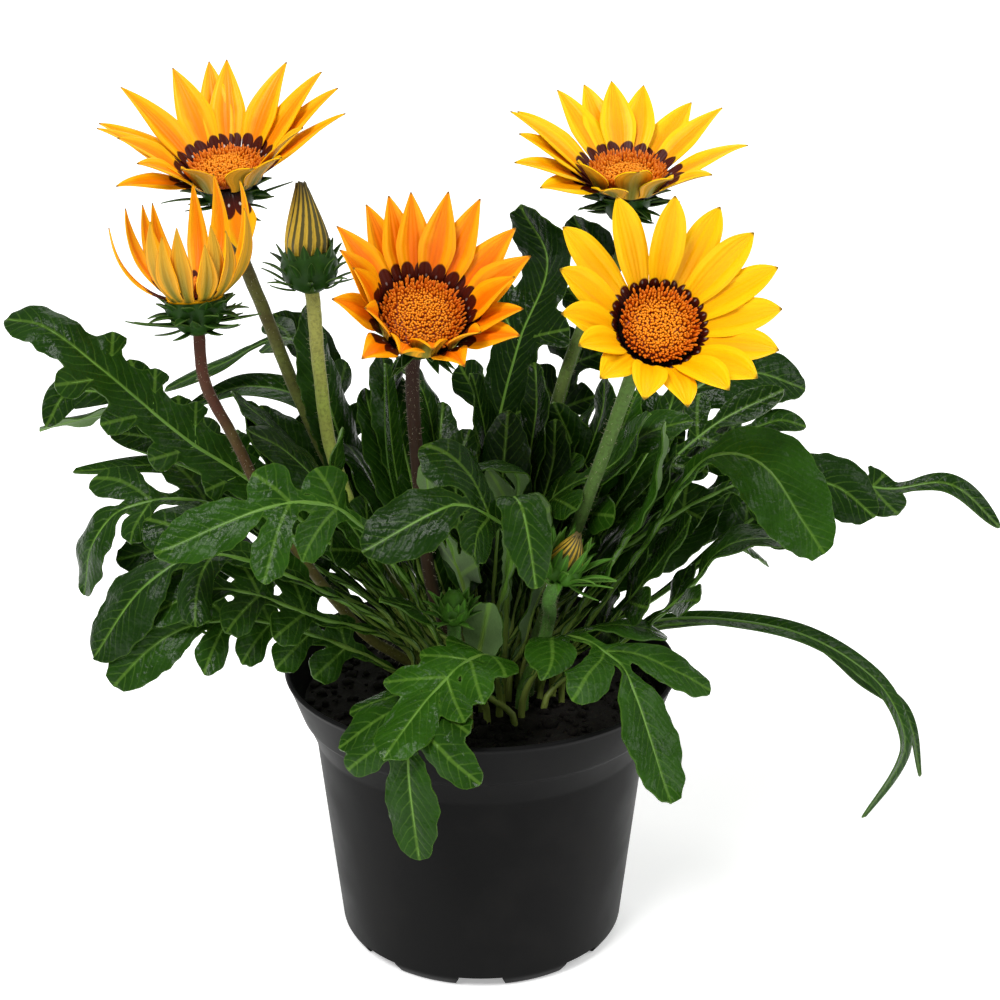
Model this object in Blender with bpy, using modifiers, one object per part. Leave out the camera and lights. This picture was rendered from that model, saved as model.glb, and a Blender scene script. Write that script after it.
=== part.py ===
"""Potted gazania: a tuft of lobed leaves and daisy blooms growing in a round nursery pot.

Lengths in the tables are millimetres and angles are degrees.
The origin is the centre of the pot's underside, +Z is up and -Y is the front.
"""
import math
from dataclasses import dataclass

import bmesh
import bpy
from mathutils import Matrix, Vector
from mathutils.bvhtree import BVHTree
from mathutils.geometry import delaunay_2d_cdt

MM = 0.001
UP = Vector((0, 0, 1))

# Pot
RIM_RADIUS = 65.0
COLLAR_FOOT_RADIUS = 59.5
COLLAR_HEIGHT = 15.5
BODY_TOP_RADIUS = 55.0
SHOULDER_HEIGHT = 9.0
BASE_RADIUS = 47.6
POT_HEIGHT = 96.0
WALL = 1.4
FLOOR = 2.0
EDGE_FLOOR = 5.6
EDGE_FLOOR_RADIUS = 36.0
POT_SIDES = 32
NOTCH_COUNT = 8
NOTCH_WIDTH = 17.0
NOTCH_TOP_WIDTH = 14.0
NOTCH_HEIGHT = 4.0
NOTCH_INNER_RADIUS = 38.5
DRAIN_COUNT = 4
DRAIN_RADIUS = 3.0
DRAIN_RING = 22.0

# Soil
SOIL_TOP = 85.0
SOIL_SIDES = 18
CLEAR = 0.3
PIT_BOTTOM = 77.0
PIT_CLEAR = 0.4

# Crown, where the stalks leave the soil
CROWN_X = 2.0
CROWN_Y = -2.0
SPOT_COUNT = 52
SPOT_PITCH = 3.75
GOLDEN_ANGLE = math.radians(137.508)
LOW_ROOT_RADIUS = 24.0
SPOT_TRIES = 5

# Leaves
LEAF_THICK = 0.9
LEAF_CLEAR = 0.3
PETIOLE_HALF = 1.7
LOBE_SWEEP = math.radians(55)
BLADE_FOLD = math.radians(9)
BLADE_ARCH = 0.006
RIB_STEPS = 14
STRAIGHT_FOOT = 8.6
FIRST_STEP = 13.0
STALK_STEP = 18.0
END_STEP = 17.0

# The line along which someone in front of the plant looks at it
SIGHT = Vector((0, 0.94, -0.34))
SIGHT_UP = Vector((0, 0.34, 0.94))
SIDEWAYS = Vector((1, 0, 0))

# Blooms
STEM_RADIUS = 2.2
CUP_SIDES = 8
CUP_RADIUS = 8.8
CUP_DEPTH = 11.5
FURLED_CUP_DEPTH = 9.5
PETAL_THICK = 0.8
BOWL_SLOPE = math.tan(math.radians(12))
BOWL_THICK = 1.2
PETAL_ARCH = 0.06
FRONT_ARCH = 0.12
FURLED_ARCH = -0.32
PETAL_START = 0.9
BOWL_MARGIN = 1.4
PETAL_FOOT = 0.16
PETAL_LIFT = 0.7
PETAL_WIDEST = 0.42
PETAL_FOLD = 0.26
DISC_FLORETS = 46
FLORET_RELIEF = 1.0
DISC_SEAT = 0.6
DISC_SKIRT_SIDES = 16
DOME_RISE = 1.0
SKIRT_HEIGHT = 0.6

# Buds' furled petals: height and width shares of the cone's rings
CONE_LEVELS = ((0, 0.94), (0.25, 1.0), (0.65, 0.7), (1, 0.26))
PLEATS = 7
PLEAT_DEPTH = 0.8
PLEAT_TWIST = 0.5


@dataclass
class Leaf:
    """One leaf: its rib above the soil, how far its blade turns to the front, and its sizes."""
    name: str
    rib: tuple
    face: float
    blade: float
    web: float
    pairs: int
    first: float
    last: float
    wide: float
    end: float
    end_wide: float
    joins: str = ""
    upper: float = 1.0


# rib points, face, blade length, web half width, lobe pairs, first and last lobe, lobe width, end lobe
# and, for a leaf that grows out of another one's foot, the name of that one; the last number is
# how long the lobes of the upper edge are for those of the lower one
LEAVES = [
    Leaf("leaf_right_strap", ((40, 12, 98), (63, 14, 104), (89, 14, 103), (111, 12, 98), (131, 8, 86),
                              (140, 4, 74), (142, 0, 61), (129, -4, 39)),
         45, 140, 2.2, 0, 0, 0, 0, 130, 9.0),
    Leaf("leaf_right_strap_thin", ((47, 20, 93), (81, 24, 95), (113, 22, 89), (130, 18, 76), (145, 14, 65),
                                   (151, 10, 43)),
         45, 110, 1.6, 0, 0, 0, 0, 100, 7.0),
    Leaf("leaf_front_low", ((-3, -34, 102), (-12, -46, 106), (-19, -60, 104), (-21, -70, 95),
                            (-18, -75, 64)),
         0, 66, 2.0, 3, 21, 22, 11, 36, 17),
    Leaf("leaf_front_left", ((4, -28, 109), (-3, -36, 113), (-15, -48, 106), (-28, -64, 94)),
         0, 56, 2.0, 3, 12, 18, 10, 26, 18),
    Leaf("leaf_front_right", ((21, -24, 108), (28, -34, 119), (41, -46, 117), (46, -54, 112), (57, -76, 83)),
         0, 80, 2.2, 2, 29, 27, 14, 42, 20),
    Leaf("leaf_low_left", ((-30, -22, 103), (-43, -28, 113), (-68, -38, 126), (-88, -44, 127),
                           (-100, -47, 121), (-112, -49, 109)),
         55, 88, 2.2, 4, 11, 19, 11, 34, 17, "", 0.8),
    Leaf("leaf_bright_left", ((-13, -24, 113), (-27, -38, 146), (-41, -48, 166), (-53, -52, 170),
                              (-66, -55, 168), (-94, -60, 157)),
         50, 62, 2.0, 2, 16, 20, 12.5, 33, 16, "", 0.65),
    Leaf("leaf_centre_dark", ((3, -18, 111), (10, -38, 153), (-2, -46, 166), (-9, -50, 168),
                              (-34, -56, 156)),
         45, 52, 2.0, 1, 24, 24, 16, 33, 20),
    Leaf("leaf_upper_left", ((-26, -14, 120), (-56, -20, 152), (-74, -24, 169), (-90, -26, 181),
                             (-114, -28, 204), (-131, -24, 216), (-144, -18, 217)),
         45, 110, 6.5, 5, 5, 9, 9, 26, 14, "", 0.8),
    Leaf("leaf_right_fold", ((32, -6, 106), (53, -18, 145), (69, -28, 175), (84, -36, 177),
                             (98, -41, 159), (104, -42, 150)),
         40, 58, 3.0, 0, 0, 0, 0, 50, 26),
    Leaf("leaf_right_long", ((36, 2, 102), (61, 6, 118), (90, 10, 142), (114, 12, 153), (134, 10, 152),
                             (152, 6, 155), (168, 2, 142)),
         35, 100, 2.0, 3, 20, 12, 12, 34, 8, "", 0.4),
    Leaf("leaf_tall_back", ((0, 12, 105), (5, 24, 164), (13, 30, 197), (22, 34, 222), (13, 32, 241)),
         0, 112, 8.0, 3, 12, 12, 13, 30, 20),
    Leaf("leaf_tall_right", ((10, 14, 111), (26, 32, 169), (39, 40, 218), (31, 38, 238)),
         0, 76, 2.5, 3, 13, 11, 12, 26, 18),
    Leaf("leaf_right_lobed", ((33, 8, 107), (59, 20, 142), (78, 26, 160), (98, 30, 169), (108, 30, 167)),
         30, 74, 1.8, 4, 14, 12, 6, 18, 9),
    Leaf("leaf_right_back", ((30, 12, 112), (53, 28, 160), (73, 34, 180), (90, 36, 184), (108, 37, 178)),
         35, 88, 3.0, 2, 15, 12, 14, 50, 24),
    Leaf("leaf_right_bright", ((26, -10, 107), (44, -22, 143), (52, -26, 161), (57, -28, 187)),
         15, 62, 3.0, 1, 15, 15, 12, 40, 19),
    Leaf("leaf_right_low", ((29, -10, 100), (39, -14, 111), (52, -22, 132), (66, -28, 156)),
         30, 60, 2.0, 2, 15, 16, 12, 28, 16),
    Leaf("leaf_right_blade", ((36, -2, 98), (60, -4, 122), (73, -6, 139), (95, -8, 142)),
         25, 60, 2.0, 1, 15, 15, 12, 36, 16),
    Leaf("leaf_big_dark_left", ((-19, -20, 108), (-50, -30, 133), (-82, -38, 148), (-101, -43, 140),
                                (-118, -45, 117)),
         40, 62, 2.5, 1, 20, 20, 16, 38, 21),
    Leaf("leaf_curled_left", ((-29, -14, 116), (-57, -20, 139), (-86, -28, 161), (-110, -32, 161),
                              (-121, -34, 150), (-125, -33, 132)),
         25, 66, 2.5, 2, 14, 15, 11, 32, 16),
    Leaf("leaf_strap_left", ((-30, -6, 113), (-61, -4, 140), (-95, -8, 165), (-130, -10, 165)),
         0, 70, 3.0, 0, 0, 0, 0, 64, 12),
    Leaf("leaf_grey_left", ((-33, 4, 119), (-72, 10, 159), (-98, 14, 173), (-114, 16, 177), (-144, 18, 170)),
         -25, 70, 2.2, 2, 15, 13, 11, 30, 14),
    Leaf("leaf_arched_left", ((-27, 10, 113), (-45, 20, 155), (-57, 24, 177), (-78, 26, 183),
                              (-98, 27, 176)),
         15, 84, 2.0, 0, 0, 0, 0, 76, 12),
    Leaf("leaf_fern_left", ((-24, 14, 119), (-44, 28, 163), (-61, 34, 195), (-87, 38, 186), (-106, 38, 177)),
         10, 84, 1.8, 2, 12, 12, 9, 34, 11),
    Leaf("leaf_upright_left", ((-24, 12, 112), (-47, 26, 153), (-56, 32, 193), (-70, 32, 207)),
         20, 92, 4.0, 2, 13, 11, 11, 34, 15),
    Leaf("leaf_upright_middle", ((-17, 6, 107), (-34, 10, 155), (-44, 14, 188), (-46, 15, 205)),
         25, 86, 2.0, 0, 0, 0, 0, 78, 17),
    Leaf("leaf_upright_slim", ((-13, 2, 109), (-27, 2, 158), (-30, 2, 197)),
         20, 74, 2.0, 0, 0, 0, 0, 66, 12),
    Leaf("leaf_under_bloom", ((15, 0, 110), (27, -6, 153), (48, -12, 169), (57, -14, 185)),
         15, 72, 3.0, 2, 14, 14, 12, 32, 18),
    Leaf("leaf_curl_centre", ((-11, -20, 98), (-25, -28, 117), (-38, -40, 146), (-45, -45, 162),
                              (-42, -42, 182)),
         30, 66, 2.0, 0, 0, 0, 0, 48, 14),
    Leaf("leaf_droop_centre", ((8, -14, 109), (9, -28, 144), (10, -38, 166), (13, -46, 165), (17, -52, 143)),
         0, 48, 2.0, 0, 0, 0, 0, 38, 15),
    Leaf("leaf_small_centre", ((3, -22, 95), (5, -30, 113), (8, -33, 130)),
         0, 26, 2.0, 0, 0, 0, 0, 22, 13),
    Leaf("leaf_middle", ((6, -2, 107), (11, -8, 148), (10, -12, 167), (-6, -18, 168)),
         20, 46, 1.8, 1, 17, 17, 13, 26, 15),
    Leaf("leaf_fill_left_low", ((-23, -10, 107), (-48, -16, 124), (-75, -24, 136), (-97, -28, 128)),
         35, 60, 2.0, 2, 15, 15, 12, 28, 15),
    Leaf("leaf_back_left", ((-20, 20, 108), (-46, 44, 130), (-68, 64, 130), (-86, 80, 114)),
         0, 76, 2.2, 3, 13, 17, 12, 28, 17),
    Leaf("leaf_back_middle", ((-6, 24, 108), (-14, 52, 132), (-20, 78, 130), (-24, 98, 112)),
         0, 76, 2.2, 3, 13, 17, 12, 28, 17),
    Leaf("leaf_back_right", ((12, 22, 108), (32, 50, 132), (46, 72, 132), (58, 92, 116)),
         0, 76, 2.2, 3, 13, 17, 12, 28, 17),
    Leaf("leaf_back_far_right", ((26, 16, 106), (56, 38, 124), (82, 54, 122), (102, 64, 104)),
         0, 76, 2.2, 3, 13, 17, 12, 28, 17),
    Leaf("leaf_right_wide", ((21, -8, 117), (38, -14, 150), (51, -16, 166), (66, -18, 172)),
         25, 60, 2.4, 1, 15, 15, 12, 36, 16),
    Leaf("leaf_front_small", ((-1, -26, 107), (-9, -32, 127), (-20, -38, 133)),
         10, 36, 2.0, 0, 0, 0, 0, 30, 13),
    Leaf("second_behind_centre", ((4, 8, 114), (8, 12, 148), (6, 14, 171), (2, 14, 190)),
         10, 76, 2.4, 1, 15, 15, 13, 50, 17, "leaf_tall_right"),
    Leaf("second_right_upright", ((16, 2, 116), (25, 8, 149), (30, 10, 169), (24, 12, 185)),
         10, 70, 2.4, 1, 15, 15, 13, 46, 17, "leaf_right_long"),
    Leaf("second_right_high", ((19, -4, 119), (35, -2, 153), (46, 2, 174), (52, 6, 188)),
         15, 72, 2.4, 1, 16, 16, 13, 46, 17, "leaf_right_fold"),
    Leaf("second_left_high", ((-26, -2, 118), (-47, -2, 153), (-60, -4, 169), (-72, -6, 177)),
         25, 68, 2.4, 1, 16, 16, 13, 42, 17, "leaf_centre_dark"),
    Leaf("second_left_upright", ((-14, 10, 113), (-27, 16, 153), (-30, 18, 173), (-27, 18, 193)),
         10, 70, 2.4, 1, 14, 14, 12, 46, 15, "leaf_tall_back"),
    Leaf("second_centre", ((-3, -12, 108), (-9, -18, 138), (-15, -22, 153), (-17, -20, 169)),
         15, 52, 2.2, 1, 14, 14, 12, 32, 15, "leaf_upper_left"),
    Leaf("second_front_right", ((13, -18, 107), (18, -24, 127), (25, -26, 142)),
         10, 40, 2.0, 0, 0, 0, 0, 34, 13, "leaf_droop_centre"),
]


@dataclass
class Bloom:
    """One open bloom: where its disc sits, how it leans, its petals and its stem."""
    name: str
    centre: tuple
    tilt: float
    towards: float
    disc: float
    length: float
    width: float
    petals: tuple
    stem: tuple
    stem_radius: float = STEM_RADIUS
    front_arch: float = FRONT_ARCH


# petals as angle round the bloom, rise above its plane and, where it differs, length from the centre
BLOOMS = [
    Bloom("bloom_left", (-78.5, 15, 252), 20, -100, 10.6, 43, 9.2,
          ((-178, 31), (-164, 36, 38), (-151, 17, 37), (-139, 33, 36), (-116, 37, 28), (-77, -38, 25),
           (-61, 34, 28), (-44, 33, 34), (-28, 39, 40), (8, 25), (21, 30, 45), (33, 34, 45), (56, 35),
           (90, 33), (99, 33), (118, 34), (151, 36, 44), (170, 27)),
          ((-34, 14, 124), (-59, 19, 180), (-69, 20, 208))),
    Bloom("bloom_right_back", (47, 35, 246), 17, -84, 10.8, 43, 9.2,
          ((-178, 28, 40), (-165, 19, 40), (-149, 14, 34), (-139, 36, 28), (-113, 23, 26), (-86, 38, 28),
           (-57, 31, 27), (-35, 26, 34), (4, 22, 41), (37, 25), (57, 20), (81, 25),
           (97, 27), (111, 26), (126, 26), (158, 26), (172, 31, 45)),
          ((13, 8, 117), (21, 20, 162), (32, 32, 197))),
    Bloom("bloom_centre", (-17, -35, 219), 42, -78, 11.8, 39, 9.2,
          ((-179, 47, 32), (-160, 35, 34), (-147, 45, 28), (-125, 21, 28), (-102, 36, 27), (-77, 42, 26),
           (-55, 29, 28), (-32, 42, 27), (-17, 30, 34), (-2, 35, 34), (16, 43, 34), (29, 36), (48, 34, 40),
           (71, 38, 41), (88, 40, 40), (108, 37), (119, 33), (128, 24), (149, 27, 38),
           (173, 44, 37)),
          ((-16, -8, 127), (-20, -13, 176)), front_arch=0.3),
    Bloom("bloom_right_front", (50, -60, 224), 54, -80, 10.4, 37, 11.0,
          ((-161, 34), (-141, 37), (-121, 35), (-96, 37), (-72, 35, 36), (-49, 39), (-30, 34), (-9, 30),
           (12, 33), (33, 34, 39), (54, 35, 39), (75, 30, 39), (99, 38, 39), (126, 31, 40),
           (151, 21, 40), (174, 31)),
          ((27, -12, 135), (39, -27, 180))),
]

# The half-open bloom's petals stand round an upright axis
CUP_BLOOM = Bloom("bloom_half_open", (-83, -34, 226), 4, 160, 7.5, 36, 7.5,
                  ((-165, 48, 33), (-125, 62, 30), (-112, 58, 26), (-94, 64, 27), (-64, 51, 25), (-52, 60, 28),
                   (-36, 55, 27), (-14, 56, 33), (24, 63, 38), (68, 62, 39), (91, 56, 38), (124, 50, 35),
                   (136, 53, 34), (158, 54, 34)),
                  ((-38, -14, 112), (-62, -24, 152), (-75, -29, 184)), 1.7)


@dataclass
class Bud:
    """One closed bud: its cup's foot, the way it points, its sizes and its stem."""
    name: str
    foot: tuple
    tilt: float
    towards: float
    cup_radius: float
    cup_height: float
    cone_radius: float
    cone_height: float
    bracts: int
    bract_length: float
    stem: tuple


BUDS = [
    Bud("bud_tall", (-52.5, 6, 219), 4, 180, 9.0, 13.0, 6.9, 21.0, 8, 8.0,
        ((-30, -5, 122), (-47, 1, 166), (-51, 4, 196))),
    Bud("bud_yellow_tip", (24, -32, 137), 22, -20, 6.3, 7.0, 5.2, 10.0, 7, 13.0,
        ((19, -18, 106), (22, -24, 122))),
    Bud("bud_green", (-8, -30, 122), 10, -100, 5.0, 7.0, 0.0, 5.0, 6, 6.5,
        ((-6, -26, 108),)),
]


def clear_scene():
    """Remove whatever the file opened with."""
    for item in list(bpy.data.objects):
        bpy.data.objects.remove(item, do_unlink=True)


def new_collection(name):
    """Add a collection to the scene."""
    collection = bpy.data.collections.new(name)
    bpy.context.scene.collection.children.link(collection)
    return collection


def new_material(name, colour, roughness):
    """Principled BSDF with the piece's own colour and roughness."""
    material = bpy.data.materials.new(name)
    material.use_nodes = True
    shader = material.node_tree.nodes["Principled BSDF"]
    shader.inputs["Base Color"].default_value = (*colour, 1.0)
    shader.inputs["Roughness"].default_value = roughness
    shader.inputs["Metallic"].default_value = 0.0
    return material


def add_object(name, mesh, collection, material=None):
    """Link a mesh as an object, with its material."""
    item = bpy.data.objects.new(name, mesh)
    if material:
        mesh.materials.clear()
        mesh.materials.append(material)
    collection.objects.link(item)
    return item


def mesh_from(name, solid):
    """Turn a bmesh in millimetres into a mesh in metres."""
    bmesh.ops.scale(solid, vec=(MM, MM, MM), verts=solid.verts)
    mesh = bpy.data.meshes.new(name)
    solid.to_mesh(mesh)
    solid.free()
    return mesh


def evaluated_mesh(item):
    """The object's mesh with its modifiers applied."""
    bpy.context.view_layer.update()
    graph = bpy.context.evaluated_depsgraph_get()
    return bpy.data.meshes.new_from_object(item.evaluated_get(graph), depsgraph=graph)


def turned(name, profile, sides, collection, material=None):
    """Solid of revolution: profile of (radius, height) spun about Z, as a mesh."""
    outline = bmesh.new()
    points = [outline.verts.new((radius, 0, height)) for radius, height in profile]
    for first, second in zip(points, points[1:]):
        outline.edges.new((first, second))
    item = add_object(name, mesh_from(name, outline), collection, material)
    spin = item.modifiers.new("turn", "SCREW")
    spin.steps = sides
    spin.render_steps = sides
    spin.use_merge_vertices = True
    spin.merge_threshold = 0.0001
    spin.use_smooth_shade = False
    return item


def bake(item):
    """Replace an object's mesh by its evaluated one and drop the modifiers."""
    mesh = evaluated_mesh(item)
    item.modifiers.clear()
    item.data = mesh
    return item


def join_by_union(base, pieces):
    """Unite a base object with every object of a collection, then drop the collection."""
    union = base.modifiers.new("union", "BOOLEAN")
    union.operation = "UNION"
    union.operand_type = "COLLECTION"
    union.collection = pieces
    union.solver = "EXACT"
    bake(base)
    for item in list(pieces.objects):
        bpy.data.objects.remove(item, do_unlink=True)
    bpy.data.collections.remove(pieces)
    return base


def smooth_path(points, first_way, steps):
    """Points of a smooth curve through the given ones, leaving the first along first_way."""
    points = [Vector(point) for point in points]
    ways = [first_way, first_way]
    for index in range(2, len(points) - 1):
        ways.append((points[index + 1] - points[index - 1]).normalized())
    ways.append((points[-1] - points[-2]).normalized())
    path = []
    for index in range(len(points) - 1):
        start = points[index]
        stop = points[index + 1]
        reach = (stop - start).length
        for step in range(steps):
            u = step / steps
            path.append(start * (2 * u**3 - 3 * u**2 + 1) + ways[index] * reach * (u**3 - 2 * u**2 + u)
                        + stop * (3 * u**2 - 2 * u**3) + ways[index + 1] * reach * (u**3 - u**2))
    path.append(points[-1])
    return path


def lean_axes(tilt, towards):
    """East, north and normal of a bloom that leans by tilt degrees towards an azimuth."""
    lean = math.radians(tilt)
    way = math.radians(towards)
    normal = Vector((math.sin(lean) * math.cos(way), math.sin(lean) * math.sin(way), math.cos(lean)))
    east = Vector((0, 1, 0)).cross(normal).normalized()
    return east, normal.cross(east), normal


def lean_matrix(tilt, towards, origin):
    """Placement in metres of a piece whose own Z follows a bloom's normal."""
    east, north, normal = lean_axes(tilt, towards)
    turn = Matrix((east, north, normal)).transposed().to_4x4()
    return Matrix.Translation(Vector(origin) * MM) @ turn


# Pot and soil

def inner_radius(height):
    """Radius of the pot's inside at a height, from the wall's three slopes."""
    shoulder_top = POT_HEIGHT - COLLAR_HEIGHT
    shoulder_foot = shoulder_top - SHOULDER_HEIGHT
    if height >= shoulder_top:
        share = (height - shoulder_top) / COLLAR_HEIGHT
        return COLLAR_FOOT_RADIUS + share * (RIM_RADIUS - 1.0 - COLLAR_FOOT_RADIUS) - WALL
    if height >= shoulder_foot:
        share = (height - shoulder_foot) / SHOULDER_HEIGHT
        return BODY_TOP_RADIUS + share * (COLLAR_FOOT_RADIUS - BODY_TOP_RADIUS) - WALL
    share = height / shoulder_foot
    return BASE_RADIUS + share * (BODY_TOP_RADIUS - BASE_RADIUS) - WALL


def make_pot(collection, cutters, material):
    """Thin-walled nursery pot with collar, rolled lip, drain holes and notches at its foot."""
    collar_foot = POT_HEIGHT - COLLAR_HEIGHT
    shoulder_foot = collar_foot - SHOULDER_HEIGHT
    profile = [
        (0, FLOOR),
        (EDGE_FLOOR_RADIUS - 4, FLOOR),
        (EDGE_FLOOR_RADIUS, EDGE_FLOOR),
        (inner_radius(EDGE_FLOOR), EDGE_FLOOR),
        (inner_radius(shoulder_foot), shoulder_foot),
        (inner_radius(collar_foot), collar_foot),
        (inner_radius(POT_HEIGHT) + 0.6, POT_HEIGHT - 0.8),
        (RIM_RADIUS - 0.9, POT_HEIGHT),
        (RIM_RADIUS, POT_HEIGHT - 1.1),
        (RIM_RADIUS - 0.9, POT_HEIGHT - 2.4),
        (COLLAR_FOOT_RADIUS, collar_foot + 0.4),
        (COLLAR_FOOT_RADIUS - 1.0, collar_foot - 0.6),
        (BODY_TOP_RADIUS, shoulder_foot),
        (BASE_RADIUS, 3.5),
        (BASE_RADIUS - 2.4, 0),
        (0, 0),
    ]
    pot = turned("pot", profile, POT_SIDES, collection, material)
    for index in range(NOTCH_COUNT):
        angle = index * math.tau / NOTCH_COUNT - math.pi / 2
        add_notch(index, angle, cutters)
    for index in range(DRAIN_COUNT):
        angle = (index + 0.5) * math.tau / DRAIN_COUNT
        drill = bmesh.new()
        bmesh.ops.create_cone(drill, cap_ends=True, segments=8, radius1=DRAIN_RADIUS,
                              radius2=DRAIN_RADIUS, depth=4 * FLOOR)
        item = add_object(f"drain_{index}", mesh_from("drain", drill), cutters)
        item.location = (DRAIN_RING * MM * math.cos(angle), DRAIN_RING * MM * math.sin(angle), 0)
    cut = pot.modifiers.new("drainage", "BOOLEAN")
    cut.operation = "DIFFERENCE"
    cut.operand_type = "COLLECTION"
    cut.collection = cutters
    return pot


def add_notch(index, angle, cutters):
    """Cutter for one drainage notch: a box from under the foot, narrower at its top."""
    block = bmesh.new()
    bmesh.ops.create_cube(block, size=1)
    depth = BASE_RADIUS + 4 - NOTCH_INNER_RADIUS
    for point in block.verts:
        width = NOTCH_TOP_WIDTH if point.co.z > 0 else NOTCH_WIDTH
        point.co.x = NOTCH_INNER_RADIUS + depth * (point.co.x + 0.5)
        point.co.y *= width
        point.co.z = NOTCH_HEIGHT if point.co.z > 0 else -1.0
    item = add_object(f"notch_{index}", mesh_from("notch", block), cutters)
    item.rotation_euler = (0, 0, angle)


def make_soil(collection, material):
    """Potting soil that fills the pot to below its rim, a little hollow towards the wall."""
    collar_foot = POT_HEIGHT - COLLAR_HEIGHT
    shoulder_foot = collar_foot - SHOULDER_HEIGHT
    flat = math.cos(math.pi / POT_SIDES)
    profile = [
        (0, SOIL_TOP),
        (31, SOIL_TOP),
        (44, SOIL_TOP + 1.2),
        (54, SOIL_TOP - 0.6),
        (inner_radius(SOIL_TOP - 1.5) * flat - CLEAR, SOIL_TOP - 1.5),
        (inner_radius(collar_foot) * flat - CLEAR, collar_foot),
        (inner_radius(shoulder_foot) * flat - CLEAR, shoulder_foot),
        (inner_radius(EDGE_FLOOR) * flat - CLEAR, EDGE_FLOOR + CLEAR),
        (EDGE_FLOOR_RADIUS - CLEAR, EDGE_FLOOR + CLEAR),
        (EDGE_FLOOR_RADIUS - 4 - CLEAR, FLOOR + CLEAR),
        (0, FLOOR + CLEAR),
    ]
    return turned("soil", profile, SOIL_SIDES, collection, material)


class Crown:
    """The places in the soil that stalks and stems rise from, on an even spiral."""

    def __init__(self):
        self.free = []
        for index in range(SPOT_COUNT):
            radius = SPOT_PITCH * math.sqrt(index + 0.5)
            angle = index * GOLDEN_ANGLE
            place = Vector((radius * math.cos(angle), radius * math.sin(angle), 0))
            self.free.append(Vector((CROWN_X, CROWN_Y, 0)) + place)

    def wanted(self, first_point):
        """Where a stalk that makes for first_point would leave the crown."""
        centre = Vector((CROWN_X, CROWN_Y, 0))
        way = Vector(first_point) - Vector((CROWN_X, CROWN_Y, SOIL_TOP))
        level = Vector((way.x, way.y, 0))
        return centre + level.normalized() * LOW_ROOT_RADIUS * level.length / way.length

    def nearest(self, first_point):
        """Free places, nearest first, to where a stalk that makes for first_point wants to stand."""
        wanted = self.wanted(first_point)
        return sorted(self.free, key=lambda place: (place - wanted).length)

    def take(self, first_point):
        """Give the nearest free place away."""
        spot = self.nearest(first_point)[0]
        self.free.remove(spot)
        return spot


def add_pit(name, spot, heading, width, thick, pits):
    """Cutter for the plain hole that one stalk or stem stands in."""
    block = bmesh.new()
    bmesh.ops.create_cube(block, size=1)
    for point in block.verts:
        point.co.x *= thick + 2 * PIT_CLEAR
        point.co.y *= width + 2 * PIT_CLEAR
        point.co.z = PIT_BOTTOM if point.co.z < 0 else SOIL_TOP + 4
    item = add_object("pit_" + name, mesh_from("pit", block), pits)
    item.location = spot * MM
    item.rotation_euler = (0, 0, math.atan2(heading.y, heading.x))
    return item


# Stems, blooms and buds

def make_stem(name, points, collection, radius=STEM_RADIUS):
    """Round stem along a smooth path, as a closed mesh."""
    path = smooth_path(points, UP, 2)
    curve = bpy.data.curves.new(name, "CURVE")
    curve.dimensions = "3D"
    curve.bevel_depth = radius * MM
    curve.bevel_resolution = 1
    curve.use_fill_caps = True
    line = curve.splines.new("POLY")
    line.points.add(len(path) - 1)
    for place, point in zip(line.points, path):
        place.co = (*(point * MM), 1)
    item = bpy.data.objects.new(name, curve)
    collection.objects.link(item)
    mesh = evaluated_mesh(item)
    bpy.data.objects.remove(item, do_unlink=True)
    welded = bmesh.new()
    welded.from_mesh(mesh)
    bmesh.ops.remove_doubles(welded, verts=welded.verts, dist=0.00001)
    bmesh.ops.recalc_face_normals(welded, faces=welded.faces)
    welded.to_mesh(mesh)
    welded.free()
    return add_object(name, mesh, collection)


def stem_points(spot, middle, top):
    """Whole route of a stem: straight out of its pit, through its middle points, to its top."""
    foot = PIT_BOTTOM + PIT_CLEAR
    return [(spot.x, spot.y, foot), (spot.x, spot.y, SOIL_TOP + 2), *middle, *top]


def add_bract(name, place, outward, along, length, width, pieces):
    """One pointed bract: a slim three-sided spike sunk into the cup."""
    spike = bmesh.new()
    bmesh.ops.create_cone(spike, cap_ends=True, segments=3, radius1=width, radius2=0, depth=length)
    bmesh.ops.translate(spike, vec=(0, 0, length / 2), verts=spike.verts)
    bmesh.ops.scale(spike, vec=(0.45, 1, 1), verts=spike.verts)
    item = add_object(name, mesh_from(name, spike), pieces)
    side = along.cross(outward).normalized()
    axis = (outward + along).normalized()
    flat = side.cross(axis)
    turn = Matrix((flat, side, axis)).transposed().to_4x4()
    item.matrix_world = Matrix.Translation(place * MM) @ turn
    return item


def add_bracts(name, origin, axes, rings, pieces):
    """Rings of bracts; each ring is (count, radius, height, outward lean, length, width)."""
    east, north, normal = axes
    for level, (count, radius, height, lean, length, width) in enumerate(rings):
        for index in range(count):
            angle = (index + 0.5 * level) * math.tau / count
            outward = east * math.cos(angle) + north * math.sin(angle)
            place = Vector(origin) + outward * radius + normal * height
            rise = math.radians(lean)
            add_bract(f"{name}_bract_{level}_{index}", place, outward * math.cos(rise),
                      normal * math.sin(rise), length, width, pieces)


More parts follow.
